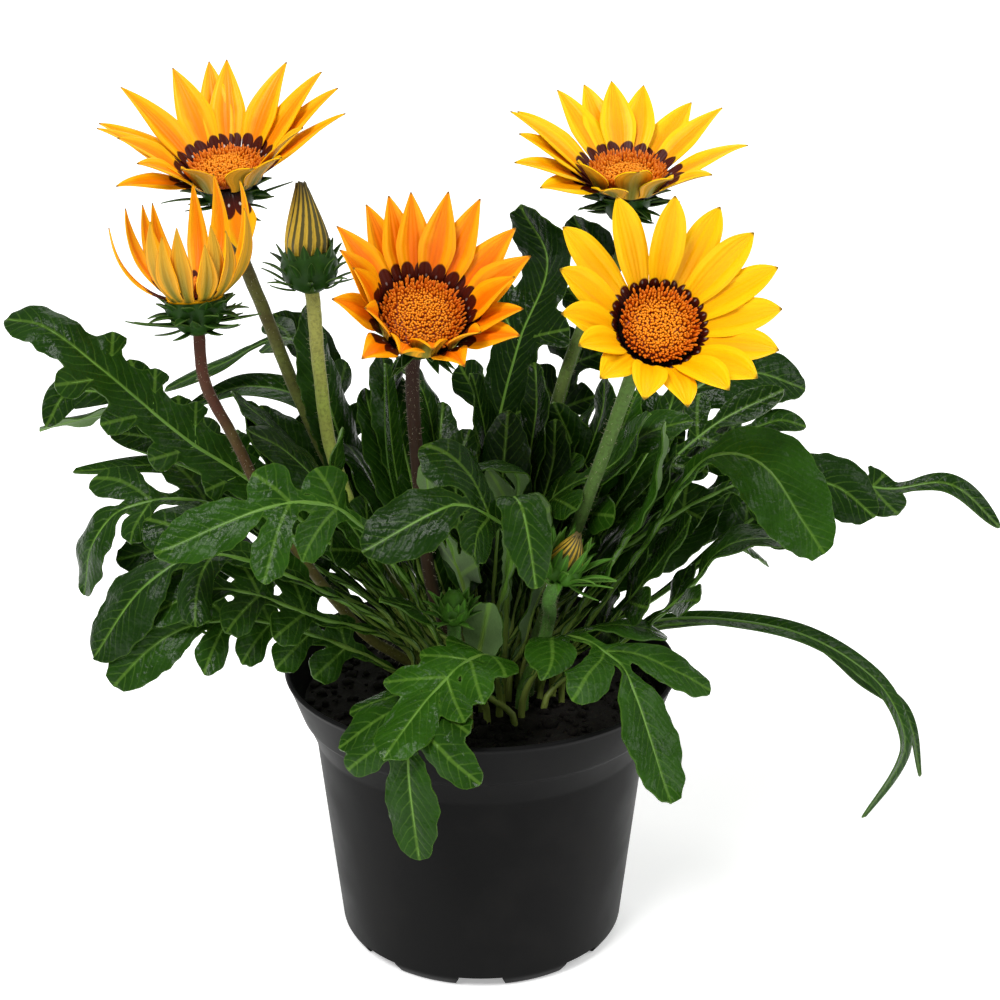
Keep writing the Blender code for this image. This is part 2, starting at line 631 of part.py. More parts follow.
def make_bloom_stem(bloom, spot, collection, material):
    """Stem, green cup and bracts of an open bloom, in one piece."""
    east, north, normal = lean_axes(bloom.tilt, bloom.towards)
    centre = Vector(bloom.centre)
    top = [tuple(centre - normal * 24), tuple(centre - normal * 8)]
    depth = FURLED_CUP_DEPTH if bloom is CUP_BLOOM else CUP_DEPTH
    pieces = new_collection(bloom.name + "_stem_pieces")
    stem = make_stem(bloom.name + "_stem", stem_points(spot, bloom.stem, top), collection, bloom.stem_radius)
    profile = [
        (0, -CLEAR - BOWL_THICK / 2),
        (CUP_RADIUS, CUP_RADIUS * BOWL_SLOPE - CLEAR - BOWL_THICK / 2),
        (CUP_RADIUS + 0.4, -1.4),
        (CUP_RADIUS - 2.0, -0.7 * depth),
        (2.9, -depth),
        (0, -depth),
    ]
    cup = turned(bloom.name + "_cup", profile, CUP_SIDES, pieces)
    cup.matrix_world = lean_matrix(bloom.tilt, bloom.towards, bloom.centre)
    bake(cup)
    add_bracts(bloom.name, centre, (east, north, normal),
               [(7, 7.0, -4.0, 20, 8.0, 1.8)], pieces)
    join_by_union(stem, pieces)
    stem.data.materials.clear()
    stem.data.materials.append(material)
    return stem


def petal_point(bloom, axes, tip, share):
    """Point of a petal's midline, in a slight arch from the bowl's edge to its tip."""
    normal = axes[2]
    level = tip - normal * tip.dot(normal)
    way = level.normalized()
    start_radius = bloom.disc + PETAL_START
    start = way * start_radius + normal * start_radius * BOWL_SLOPE
    crown = (tip - start).cross(normal.cross(way))
    middle = (start + tip) / 2 + crown * petal_arch(bloom, axes, way)
    return start * (1 - share) ** 2 + middle * 2 * share * (1 - share) + tip * share**2


def petal_arch(bloom, axes, way):
    """How far a petal bows for its length: more at the front, and outwards in the half-open bloom."""
    if bloom is CUP_BLOOM:
        return FURLED_ARCH
    return PETAL_ARCH + bloom.front_arch * max(0.0, -way.dot(axes[1])) ** 2


def edge_lifts(petals, petal):
    """Which way a petal's two edges bend: up where it passes over its neighbour, down where under."""
    ring = sorted(petals)
    place = ring.index(petal)
    before = ring[place - 1]
    after = ring[(place + 1) % len(ring)]
    over_before = PETAL_LIFT if petal[1] > before[1] else -PETAL_LIFT
    over_after = PETAL_LIFT if petal[1] >= after[1] else -PETAL_LIFT
    return over_before, over_after


def add_petal(bloom, axes, number, petal, pieces):
    """One petal: a folded pointed blade, thickened, that starts inside the bowl."""
    east, north, normal = axes
    angle = math.radians(petal[0])
    rise = math.radians(petal[1])
    length = petal[2] if len(petal) > 2 else bloom.length
    level = east * math.cos(angle) + north * math.sin(angle)
    tip = (level * math.cos(rise) + normal * math.sin(rise)) * length
    side = normal.cross(level)
    crown = normal * math.cos(rise) - level * math.sin(rise)
    layer = normal * 0.07 * ((number * 7) % 5 - 2)
    blade = bmesh.new()
    foot = petal_point(bloom, axes, tip, 0) + layer
    middle = petal_point(bloom, axes, tip, PETAL_WIDEST) + layer * (1 - PETAL_WIDEST)
    narrow = side * bloom.width * PETAL_FOOT
    reach = side * bloom.width * 0.5
    fold = bloom.width * 0.5 * PETAL_FOLD
    over_before, over_after = edge_lifts(bloom.petals, petal)
    foot_left = blade.verts.new(foot - narrow)
    foot_right = blade.verts.new(foot + narrow)
    left = blade.verts.new(middle - reach + crown * (fold + over_before))
    keel = blade.verts.new(middle)
    right = blade.verts.new(middle + reach + crown * (fold + over_after))
    point = blade.verts.new(tip)
    blade.faces.new((foot_left, foot_right, keel))
    blade.faces.new((foot_left, keel, left))
    blade.faces.new((foot_right, right, keel))
    blade.faces.new((left, keel, point))
    blade.faces.new((keel, right, point))
    thicken(blade, PETAL_THICK)
    item = add_object(f"{bloom.name}_petal_{number}", mesh_from("petal", blade), pieces)
    item.location = Vector(bloom.centre) * MM
    return item


def thicken(surface, thickness):
    """Give an open surface of triangles an even thickness, half to each side."""
    surface.normal_update()
    ways = [point.normal.copy() for point in surface.verts]
    for point, way in zip(surface.verts, ways):
        point.co -= way * thickness / 2
    lower = list(surface.verts)
    copies = [surface.verts.new(point.co + way * thickness) for point, way in zip(lower, ways)]
    match = dict(zip(lower, copies))
    border = [edge for edge in surface.edges if edge.is_boundary]
    for edge in border:
        face = edge.link_faces[0]
        loop = [item for item in face.loops if item.edge == edge][0]
        start = loop.vert
        stop = loop.link_loop_next.vert
        surface.faces.new((stop, start, match[start], match[stop]))
    for face in [item for item in surface.faces if all(point in match for point in item.verts)]:
        surface.faces.new([match[point] for point in face.verts])
        face.normal_flip()
    bmesh.ops.recalc_face_normals(surface, faces=surface.faces)


def make_petals(bloom, collection, material):
    """The ring of petals on their shallow bowl, in one piece."""
    axes = lean_axes(bloom.tilt, bloom.towards)
    pieces = new_collection(bloom.name + "_petal_pieces")
    edge = bloom.disc + BOWL_MARGIN
    half = BOWL_THICK / 2
    profile = [
        (0, half),
        (edge, edge * BOWL_SLOPE + half),
        (edge, edge * BOWL_SLOPE - half),
        (0, -half),
    ]
    bowl = turned(bloom.name + "_petals", profile, 14, collection)
    bowl.matrix_world = lean_matrix(bloom.tilt, bloom.towards, bloom.centre)
    bake(bowl)
    for number, petal in enumerate(bloom.petals):
        add_petal(bloom, axes, number, petal, pieces)
    join_by_union(bowl, pieces)
    bowl.data.materials.clear()
    bowl.data.materials.append(material)
    return bowl


def make_disc(bloom, collection, material):
    """Domed disc whose florets stand out as relief on a spiral."""
    radius = bloom.disc
    base = bowl_top(radius) + DISC_SEAT
    disc = bmesh.new()
    skirt = []
    for index in range(DISC_SKIRT_SIDES):
        angle = index * math.tau / DISC_SKIRT_SIDES
        skirt.append(Vector((radius * math.cos(angle), radius * math.sin(angle))))
    spiral = []
    for index in range(DISC_FLORETS):
        reach = (radius - 1.4) * math.sqrt((index + 0.5) / DISC_FLORETS)
        angle = index * GOLDEN_ANGLE
        spiral.append(Vector((reach * math.cos(angle), reach * math.sin(angle))))
    points = skirt + spiral
    top = []
    for index, point in enumerate(points):
        dome = DOME_RISE * (1 - (point.length / radius) ** 2)
        relief = 0.0 if index < len(skirt) else FLORET_RELIEF * (index % 3) / 2
        top.append(disc.verts.new((point.x, point.y, base + SKIRT_HEIGHT + dome + relief)))
    for trio in spiral_triangles(points):
        disc.faces.new([top[index] for index in trio])
    bottom = [disc.verts.new((point.x, point.y, base)) for point in skirt]
    foot = disc.verts.new((0, 0, bowl_top(0) + DISC_SEAT))
    count = len(skirt)
    for index in range(count):
        after = (index + 1) % count
        disc.faces.new((bottom[index], bottom[after], top[after], top[index]))
        disc.faces.new((foot, bottom[after], bottom[index]))
    bmesh.ops.triangulate(disc, faces=disc.faces)
    bmesh.ops.recalc_face_normals(disc, faces=disc.faces)
    item = add_object(bloom.name + "_disc", mesh_from("disc", disc), collection, material)
    item.matrix_world = lean_matrix(bloom.tilt, bloom.towards, bloom.centre)
    return item


def bowl_top(radius):
    """Height of the petal bowl's upper face at a radius."""
    return radius * BOWL_SLOPE + BOWL_THICK / 2


def spiral_triangles(points):
    """Triangles that join scattered points in the plane."""
    return delaunay_2d_cdt(points, [], [], 0, 0.0001)[2]


def make_bud(bud, spot, collection, green, yellow):
    """Closed bud: green cup with bracts on its stem, and the furled petals as a pleated cone."""
    axes = lean_axes(bud.tilt, bud.towards)
    normal = axes[2]
    foot = Vector(bud.foot)
    pieces = new_collection(bud.name + "_pieces")
    top = [tuple(foot - normal * 7), tuple(foot + normal * 3)]
    stem = make_stem(bud.name + "_stem", stem_points(spot, bud.stem, top), collection)
    high = bud.cup_height
    wide = bud.cup_radius
    profile = [(0, high), (wide, high), (wide, high * 0.55), (wide * 0.8, high * 0.2), (2.8, 0), (0, 0)]
    if not bud.cone_radius:
        top_height = high + bud.cone_height
        profile[:2] = [(0, top_height), (wide * 0.45, high + bud.cone_height * 0.75), (wide, high)]
    cup = turned(bud.name + "_cup", profile, CUP_SIDES, pieces)
    cup.matrix_world = lean_matrix(bud.tilt, bud.towards, bud.foot)
    bake(cup)
    add_bracts(bud.name, foot, axes,
               [(bud.bracts, wide * 0.72, high * 0.5, 50, bud.bract_length, 1.7)], pieces)
    join_by_union(stem, pieces)
    stem.data.materials.clear()
    stem.data.materials.append(green)
    if bud.cone_radius:
        make_cone(bud, collection, yellow)
    return stem


def make_cone(bud, collection, material):
    """Furled petals: a cone with a pleat for each petal, standing on the cup."""
    cone = bmesh.new()
    base = bud.cup_height + CLEAR
    rings = []
    for share, width in CONE_LEVELS:
        ring = []
        for index in range(2 * PLEATS):
            angle = index * math.pi / PLEATS + share * PLEAT_TWIST
            radius = bud.cone_radius * width * (1.0 if index % 2 else PLEAT_DEPTH)
            ring.append(cone.verts.new((radius * math.cos(angle), radius * math.sin(angle),
                                        base + bud.cone_height * share)))
        rings.append(ring)
    count = 2 * PLEATS
    for low, high in zip(rings, rings[1:]):
        for index in range(count):
            after = (index + 1) % count
            cone.faces.new((low[index], low[after], high[after], high[index]))
    cone.faces.new(rings[-1])
    cone.faces.new(list(reversed(rings[0])))
    bmesh.ops.triangulate(cone, faces=cone.faces)
    item = add_object(bud.name + "_petals", mesh_from("cone", cone), collection, material)
    item.matrix_world = lean_matrix(bud.tilt, bud.towards, bud.foot)
    return item


# Leaves

class Rib:
    """A leaf's midrib as a smooth curve with a frame that turns as little as it can."""

    def __init__(self, leaf, spot, offset):
        foot = SOIL_TOP + 1.0 if leaf.joins else PIT_BOTTOM + PIT_CLEAR
        points = [(spot.x, spot.y, foot), (spot.x, spot.y, foot + STRAIGHT_FOOT), *leaf.rib]
        path = smooth_path(points, UP, RIB_STEPS)
        lengths = [0.0]
        for first, second in zip(path, path[1:]):
            lengths.append(lengths[-1] + (second - first).length)
        whole = lengths[-1]
        free = whole - STRAIGHT_FOOT
        self.places = []
        for point, reach in zip(path, lengths):
            share = min(1.0, max(0.0, reach - STRAIGHT_FOOT) / (0.5 * free))
            self.places.append(point + offset * share * share * (3 - 2 * share))
        self.lengths = [0.0]
        for first, second in zip(self.places, self.places[1:]):
            self.lengths.append(self.lengths[-1] + (second - first).length)
        self.whole = self.lengths[-1]
        tip = self.places[-1] - self.places[0]
        self.heading = Vector((tip.x, tip.y, 0)).normalized()
        self.set_frames(leaf)

    def set_frames(self, leaf):
        """Carry the side direction along the curve, then turn it to face the front."""
        side = UP.cross(self.heading)
        turn_sign = 1.0 if self.heading.x < 0 else -1.0
        start = self.whole * 0.25
        stop = max(start + 1.0, self.whole - leaf.blade)
        self.frames = []
        for index, place in enumerate(self.places):
            before = self.places[max(0, index - 1)]
            after = self.places[min(len(self.places) - 1, index + 1)]
            way = (after - before).normalized()
            side = (side - way * side.dot(way)).normalized()
            normal = way.cross(side)
            share = min(1.0, max(0.0, (self.lengths[index] - start) / (stop - start)))
            turn = math.radians(leaf.face) * turn_sign * share * share * (3 - 2 * share)
            self.frames.append((way, side * math.cos(turn) - normal * math.sin(turn),
                                normal * math.cos(turn) + side * math.sin(turn)))

    def at(self, distance):
        """Place, direction, side and normal at a distance along the rib."""
        if distance >= self.whole:
            way, side, normal = self.frames[-1]
            return self.places[-1] + way * (distance - self.whole), way, side, normal
        index = 1
        while self.lengths[index] < distance:
            index += 1
        share = (distance - self.lengths[index - 1]) / (self.lengths[index] - self.lengths[index - 1])
        place = self.places[index - 1].lerp(self.places[index], share)
        frame = [self.frames[index - 1][axis].lerp(self.frames[index][axis], share) for axis in range(3)]
        return place, frame[0], frame[1], frame[2]

    def point(self, along, across):
        """Point of the blade at a distance along the rib and a distance across it."""
        place, way, side, normal = self.at(along)
        rise = abs(across) * math.sin(BLADE_FOLD) - BLADE_ARCH * across * across
        return place + side * across * math.cos(BLADE_FOLD) + normal * rise


def end_half_width(leaf, share):
    """Half width of the end lobe at a share of its length: blunt, widest past its middle."""
    full = leaf.end_wide / 2
    if share < 0.5:
        ease = share / 0.5
        return leaf.web + (full - leaf.web) * ease * (2 - ease)
    drop = (share - 0.5) / 0.5
    return full * max(0.16, math.sqrt(max(0.0, 1 - drop * drop)))


def leaf_surface(leaf, rib):
    """Open surface of a leaf: stalk, strip beside the rib, paired lobes and end lobe."""
    surface = bmesh.new()
    blade_start = rib.whole - leaf.blade
    stations = [(0.0, PETIOLE_HALF), (STRAIGHT_FOOT, PETIOLE_HALF), (FIRST_STEP, PETIOLE_HALF)]
    stretch = blade_start - FIRST_STEP
    count = max(1, round(stretch / STALK_STEP))
    for index in range(count):
        stations.append((FIRST_STEP + stretch * (index + 1) / count, PETIOLE_HALF))
    lobed = leaf.blade - leaf.end
    bases = []
    if leaf.pairs:
        pitch = lobed / leaf.pairs
        for index in range(leaf.pairs):
            middle = blade_start + pitch * (index + 0.5)
            base = leaf.wide * 0.3
            stations.append((middle - base, leaf.web))
            stations.append((middle + base, leaf.web))
            bases.append((len(stations) - 2, middle, index))
    stations.append((rib.whole - leaf.end, leaf.web))
    left = [surface.verts.new(rib.point(s, half)) for s, half in stations]
    right = [surface.verts.new(rib.point(s, -half)) for s, half in stations]
    for index in range(len(stations) - 1):
        surface.faces.new((left[index], right[index], right[index + 1], left[index + 1]))
    for start, middle, number in bases:
        share = number / max(1, leaf.pairs - 1)
        length = leaf.first + (leaf.last - leaf.first) * share
        upper_hand = 1 if rib.heading.x > 0 else -1
        for hand, row in ((1, left), (-1, right)):
            reach = length * leaf.upper if hand == upper_hand else length
            add_lobe(surface, rib, leaf, middle, reach, hand, (row[start], row[start + 1]))
    add_end_lobe(surface, rib, leaf, left[-1], right[-1])
    bmesh.ops.triangulate(surface, faces=surface.faces)
    return surface


def add_lobe(surface, rib, leaf, middle, length, hand, base):
    """One side lobe: narrow at its base, widest past its middle, with a blunt tip."""
    along = Vector((math.cos(LOBE_SWEEP), math.sin(LOBE_SWEEP)))
    across = Vector((-math.sin(LOBE_SWEEP), math.cos(LOBE_SWEEP)))
    root = Vector((middle, leaf.web))
    back, front = base
    for reach, half in ((0.62, 0.5), (1.0, 0.24)):
        outer = root + along * length * reach + across * leaf.wide * half
        inner = root + along * length * reach - across * leaf.wide * half
        next_back = surface.verts.new(rib.point(outer.x, hand * outer.y))
        next_front = surface.verts.new(rib.point(inner.x, hand * inner.y))
        if hand > 0:
            surface.faces.new((back, front, next_front, next_back))
        else:
            surface.faces.new((front, back, next_back, next_front))
        back = next_back
        front = next_front


def add_end_lobe(surface, rib, leaf, left, right):
    """The end lobe, with a row of points on the rib so that it folds."""
    count = max(3, math.ceil(leaf.end / END_STEP))
    start = rib.whole - leaf.end
    previous = None
    for index in range(count):
        share = (index + 1) / count
        half = end_half_width(leaf, share)
        next_left = surface.verts.new(rib.point(start + leaf.end * share, half))
        centre = surface.verts.new(rib.point(start + leaf.end * share, 0))
        next_right = surface.verts.new(rib.point(start + leaf.end * share, -half))
        if previous is None:
            surface.faces.new((left, right, next_right, centre, next_left))
        else:
            surface.faces.new((left, previous, centre, next_left))
            surface.faces.new((previous, right, next_right, centre))
        left = next_left
        right = next_right
        previous = centre


def bends():
    """Small moves of a leaf in order of size: mostly nearer or farther, then up and sideways."""
    moves = []
    for deep in range(-10, 11):
        for high in range(-3, 4):
            for wide in range(-2, 3):
                move = SIGHT * deep * 2.5 + SIGHT_UP * high * 4 + SIDEWAYS * wide * 5
                cost = abs(deep) + 3 * abs(high) + 3.5 * abs(wide)
                moves.append((cost, len(moves), move))
    moves.sort()
    return [move for cost, number, move in moves]


def solid_tree(item):
    """Search tree of an object's solid, in millimetres, with its corners."""
    mesh = evaluated_mesh(item)
    placed = item.matrix_world
    points = [placed @ point.co / MM for point in mesh.vertices]
    faces = [tuple(face.vertices) for face in mesh.polygons]
    bpy.data.meshes.remove(mesh)
    return tree_with_corners(points, faces)


def tree_with_corners(points, faces):
    """Search tree of a solid together with its lowest and highest corner."""
    low = Vector([min(point[axis] for point in points) for axis in range(3)])
    high = Vector([max(point[axis] for point in points) for axis in range(3)])
    return BVHTree.FromPolygons(points, faces), low, high


def touches(tried, placed):
    """Whether two solids cross."""
    tree, low, high = tried
    other, other_low, other_high = placed
    for axis in range(3):
        if low[axis] > other_high[axis] or high[axis] < other_low[axis]:
            return False
    return bool(tree.overlap(other))


def fit_leaf(leaf, spot, placed, moves):
    """The first small move that keeps a leaf clear of everything placed before it."""
    for move in moves:
        rib = Rib(leaf, spot, move)
        solid = leaf_surface(leaf, rib)
        thicken(solid, LEAF_THICK + 2 * LEAF_CLEAR)
        points = [point.co.copy() for point in solid.verts]
        solid.verts.index_update()
        faces = [tuple(point.index for point in face.verts) for face in solid.faces]
        solid.free()
        tried = tree_with_corners(points, faces)
        if not any(touches(tried, other) for other in placed):
            return rib
    return None


def make_leaf(leaf, spot, rib, collection, material):
    """The leaf's own object, at its root, with Solidify for the blade's thickness."""
    surface = leaf_surface(leaf, rib)
    root = Vector((spot.x, spot.y, SOIL_TOP))
    bmesh.ops.translate(surface, vec=-root, verts=surface.verts)
    item = add_object(leaf.name, mesh_from(leaf.name, surface), collection, material)
    item.location = root * MM
    shell = item.modifiers.new("blade", "SOLIDIFY")
    shell.thickness = LEAF_THICK * MM
    shell.offset = 0
    return item


def fuse(second, first, collection):
    """Unite a leaf with the one whose foot it grows out of."""
    pieces = new_collection(second.name + "_piece")
    collection.objects.unlink(second)
    pieces.objects.link(second)
    bake(second)
    bake(first)
    join_by_union(first, pieces)


def main():
    """Build the pot, the soil, the blooms and buds, then the leaves round them."""
    clear_scene()
    parts = new_collection("potted_gazania")
    drains = new_collection("drainage_cutters")
    pits = new_collection("pit_cutters")
    plastic = new_material("black plastic", (0.012, 0.012, 0.013), 0.45)
    earth = new_material("potting soil", (0.020, 0.012, 0.008), 0.95)
    green = new_material("leaf green", (0.022, 0.095, 0.012), 0.4)
    olive = new_material("stem green", (0.10, 0.14, 0.035), 0.6)
    gold = new_material("golden petals", (0.90, 0.36, 0.012), 0.5)
    yellow = new_material("bright yellow petals", (0.93, 0.55, 0.010), 0.5)
    orange = new_material("disc florets", (0.62, 0.17, 0.010), 0.7)

    pot = make_pot(parts, drains, plastic)
    soil = make_soil(parts, earth)
    crown = Crown()
    whole_plant = bpy.data.objects.new("plant", None)
    parts.objects.link(whole_plant)

    for bloom in BLOOMS + [CUP_BLOOM]:
        spot = crown.take(bloom.stem[0])
        add_pit(bloom.name, spot, Vector((1, 0, 0)), 2 * STEM_RADIUS, 2 * STEM_RADIUS, pits)
        make_bloom_stem(bloom, spot, parts, olive)
        make_petals(bloom, parts, yellow if bloom.name == "bloom_right_front" else gold)
        if bloom is not CUP_BLOOM:
            make_disc(bloom, parts, orange)
    for bud in BUDS:
        spot = crown.take(bud.stem[0])
        add_pit(bud.name, spot, Vector((1, 0, 0)), 2 * STEM_RADIUS, 2 * STEM_RADIUS, pits)
        make_bud(bud, spot, parts, olive, gold)
    bpy.context.view_layer.update()
    grown = [item for item in parts.objects if item.type == "MESH" and item not in (pot, soil)]
    placed = {item.name: solid_tree(item) for item in [pot] + grown}
    moves = bends()
    roots = {}
    missing = []
    for leaf in LEAVES:
        others = [solid for name, solid in placed.items() if name != leaf.joins]
        tries = [roots[leaf.joins]] if leaf.joins else crown.nearest(leaf.rib[0])[:SPOT_TRIES]
        for spot in tries:
            rib = fit_leaf(leaf, spot, others, moves)
            if rib:
                break
        if rib is None:
            missing.append(leaf.name)
            continue
        item = make_leaf(leaf, spot, rib, parts, green)
        bpy.context.view_layer.update()
        placed[leaf.name] = solid_tree(item)
        if leaf.joins:
            fuse(item, bpy.data.objects[leaf.joins], parts)
            continue
        crown.free.remove(spot)
        roots[leaf.name] = spot
        add_pit(leaf.name, spot, rib.heading, 2 * PETIOLE_HALF, LEAF_THICK, pits)
        grown.append(item)
    if missing:
        print("no clear place for", missing)
    cut = soil.modifiers.new("pits", "BOOLEAN")
    cut.operation = "DIFFERENCE"
    cut.operand_type = "COLLECTION"
    cut.collection = pits
    for item in list(drains.objects) + list(pits.objects):
        item.hide_render = True
        item.display_type = "WIRE"
    for item in grown:
        placement = item.matrix_world.copy()
        item.parent = whole_plant
        item.matrix_world = placement


main()
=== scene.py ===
"""Looks of a potted gazania: glossy lobed leaves, daisy blooms and buds over a black nursery pot.

Lengths in the tables are millimetres and angles are degrees. The plant's routes and tables are the
solids' own, but for the young leaves, and each leaf's place in the crown is read from the frame.
"""
import math
import random
from dataclasses import dataclass

import bmesh
import bpy
import numpy as np
from mathutils import Matrix, Vector, noise


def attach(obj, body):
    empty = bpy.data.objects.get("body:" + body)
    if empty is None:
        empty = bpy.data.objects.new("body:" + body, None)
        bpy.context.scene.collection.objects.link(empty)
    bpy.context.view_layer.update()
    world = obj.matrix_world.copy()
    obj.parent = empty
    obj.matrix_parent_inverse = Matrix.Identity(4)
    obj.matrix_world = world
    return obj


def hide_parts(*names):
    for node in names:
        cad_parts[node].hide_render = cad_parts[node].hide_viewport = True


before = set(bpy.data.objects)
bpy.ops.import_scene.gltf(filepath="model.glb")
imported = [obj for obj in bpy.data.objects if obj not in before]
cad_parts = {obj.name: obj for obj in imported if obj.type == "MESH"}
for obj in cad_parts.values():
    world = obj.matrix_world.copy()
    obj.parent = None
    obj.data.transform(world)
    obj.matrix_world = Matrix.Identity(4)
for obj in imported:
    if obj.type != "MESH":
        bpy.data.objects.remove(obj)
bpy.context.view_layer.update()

bl_info = {
    "name": "Potted gazania",
    "version": (1, 0, 0),
    "blender": (4, 5, 0),
    "location": "View3D > Sidebar > Gazania",
    "description": "Builds a potted gazania round its packed solids",
    "category": "Add Mesh",
}

MM = 0.001
UP = Vector((0, 0, 1))
GOLDEN_ANGLE = math.radians(137.508)

# Camera, as the photograph was taken
CAMERA_PLACE = (0.0063, -0.605, 0.371)
CAMERA_PITCH = 70.1
CAMERA_LENS = 72.0
CAMERA_SENSOR = 36.0

# Pot
RIM_RADIUS = 65.0
COLLAR_FOOT_RADIUS = 59.5
COLLAR_HEIGHT = 15.5
BODY_TOP_RADIUS = 55.0
SHOULDER_HEIGHT = 9.0
BASE_RADIUS = 47.6
POT_HEIGHT = 96.0
COLLAR_FOOT = POT_HEIGHT - COLLAR_HEIGHT
SHOULDER_FOOT = COLLAR_FOOT - SHOULDER_HEIGHT
WALL = 1.4
FLOOR = 2.0
EDGE_FLOOR = 5.6
EDGE_FLOOR_RADIUS = 36.0
POT_SIDES = 144
POT_CREASE = 40.0
NOTCH_COUNT = 8
NOTCH_WIDTH = 17.0
NOTCH_TOP_WIDTH = 14.0
NOTCH_HEIGHT = 4.0
NOTCH_INNER_RADIUS = 38.5
DRAIN_COUNT = 4
DRAIN_RADIUS = 3.0
DRAIN_RING = 22.0

# Soil and the feet of the stalks in it
SOIL_TOP = 85.0
SOIL_DROP = 1.5
SOIL_RINGS = 40
SOIL_SIDES = 150
SOIL_CREASE = 180.0
SMOOTH_SOIL_RADIUS = 57.0
CLEAR = 0.3
CROWN_REACH = 45.0
PIT_BOTTOM = 77.0
PIT_CLEAR = 0.4

# Leaves, as in the solids
LEAF_THICK = 0.9
LOBE_SWEEP = math.radians(55)
BLADE_FOLD = math.radians(9)
BLADE_ARCH = 0.006
RIB_STEPS = 14
STRAIGHT_FOOT = 8.6
SIGHT = np.array((0, 0.94, -0.34))
SIGHT_UP = np.array((0, 0.34, 0.94))
SIDEWAYS = np.array((1.0, 0, 0))

# Leaves, finer
GRID = 1.25
SHEET = 0.5
QUILT = 0.7
MARGIN_WAVE = 0.7
LOBE_UNEVEN = 0.2
LOBE_BLEND = 0.7
# copies of the upper side's green from dark to bright, which paint light and shade into the leaves as well as
# their tone
LEAF_LIT_AND_TONED_GREENS = 6
LEAF_CREASE = 60.0
TIP_MISS = 0.3
WING_FOOT = 16.0
MILD_WIDTH = 12.5
YOUNG_COUNT = 32
YOUNG_SPREAD = 88.0
YOUNG_HOSTS = ("leaf_big_dark_left", "leaf_centre_dark", "leaf_tall_back", "leaf_right_back")

# Blooms, as in the solids
STEM_RADIUS = 2.2
BOWL_SLOPE = math.tan(math.radians(12))
BOWL_THICK = 1.2
PETAL_ARCH = 0.06
FRONT_ARCH = 0.12
FURLED_ARCH = -0.32
PETAL_START = 0.9
PETAL_WIDEST = 0.42
PETAL_LIFT = 0.7
DISC_SEAT = 0.6
DOME_RISE = 1.4
SKIRT_HEIGHT = 0.5
CUP_RADIUS = 8.8
CUP_DEPTH = 11.5
FURLED_CUP_DEPTH = 9.5

# Blooms and buds, finer
PETAL_SHEET = 0.35
PETAL_LAYER = 0.07
CONE_CREASE = 70.0
DISC_FLORETS = 760
CUP_FLORETS = 360
BLOOM_HAIRS = 520
BUD_HAIRS = 320

# Seeds of the random draws
LEAF_SEED = 11
YOUNG_SEED = 47
BLOOM_SEED = 23
BUD_SEED = 31
SOIL_SEED = 5

# Stage
FLOOR_REACH = 40.0
VIEW_REACH = 100.0


@dataclass
class Leaf:
    """One leaf: its rib above the soil, how far its blade turns to the front, and its sizes."""
    name: str
    rib: tuple
    face: float
    blade: float
    web: float
    pairs: int
    first: float
    last: float
    wide: float
    end: float
    end_wide: float
    joins: str = ""
    upper: float = 1.0


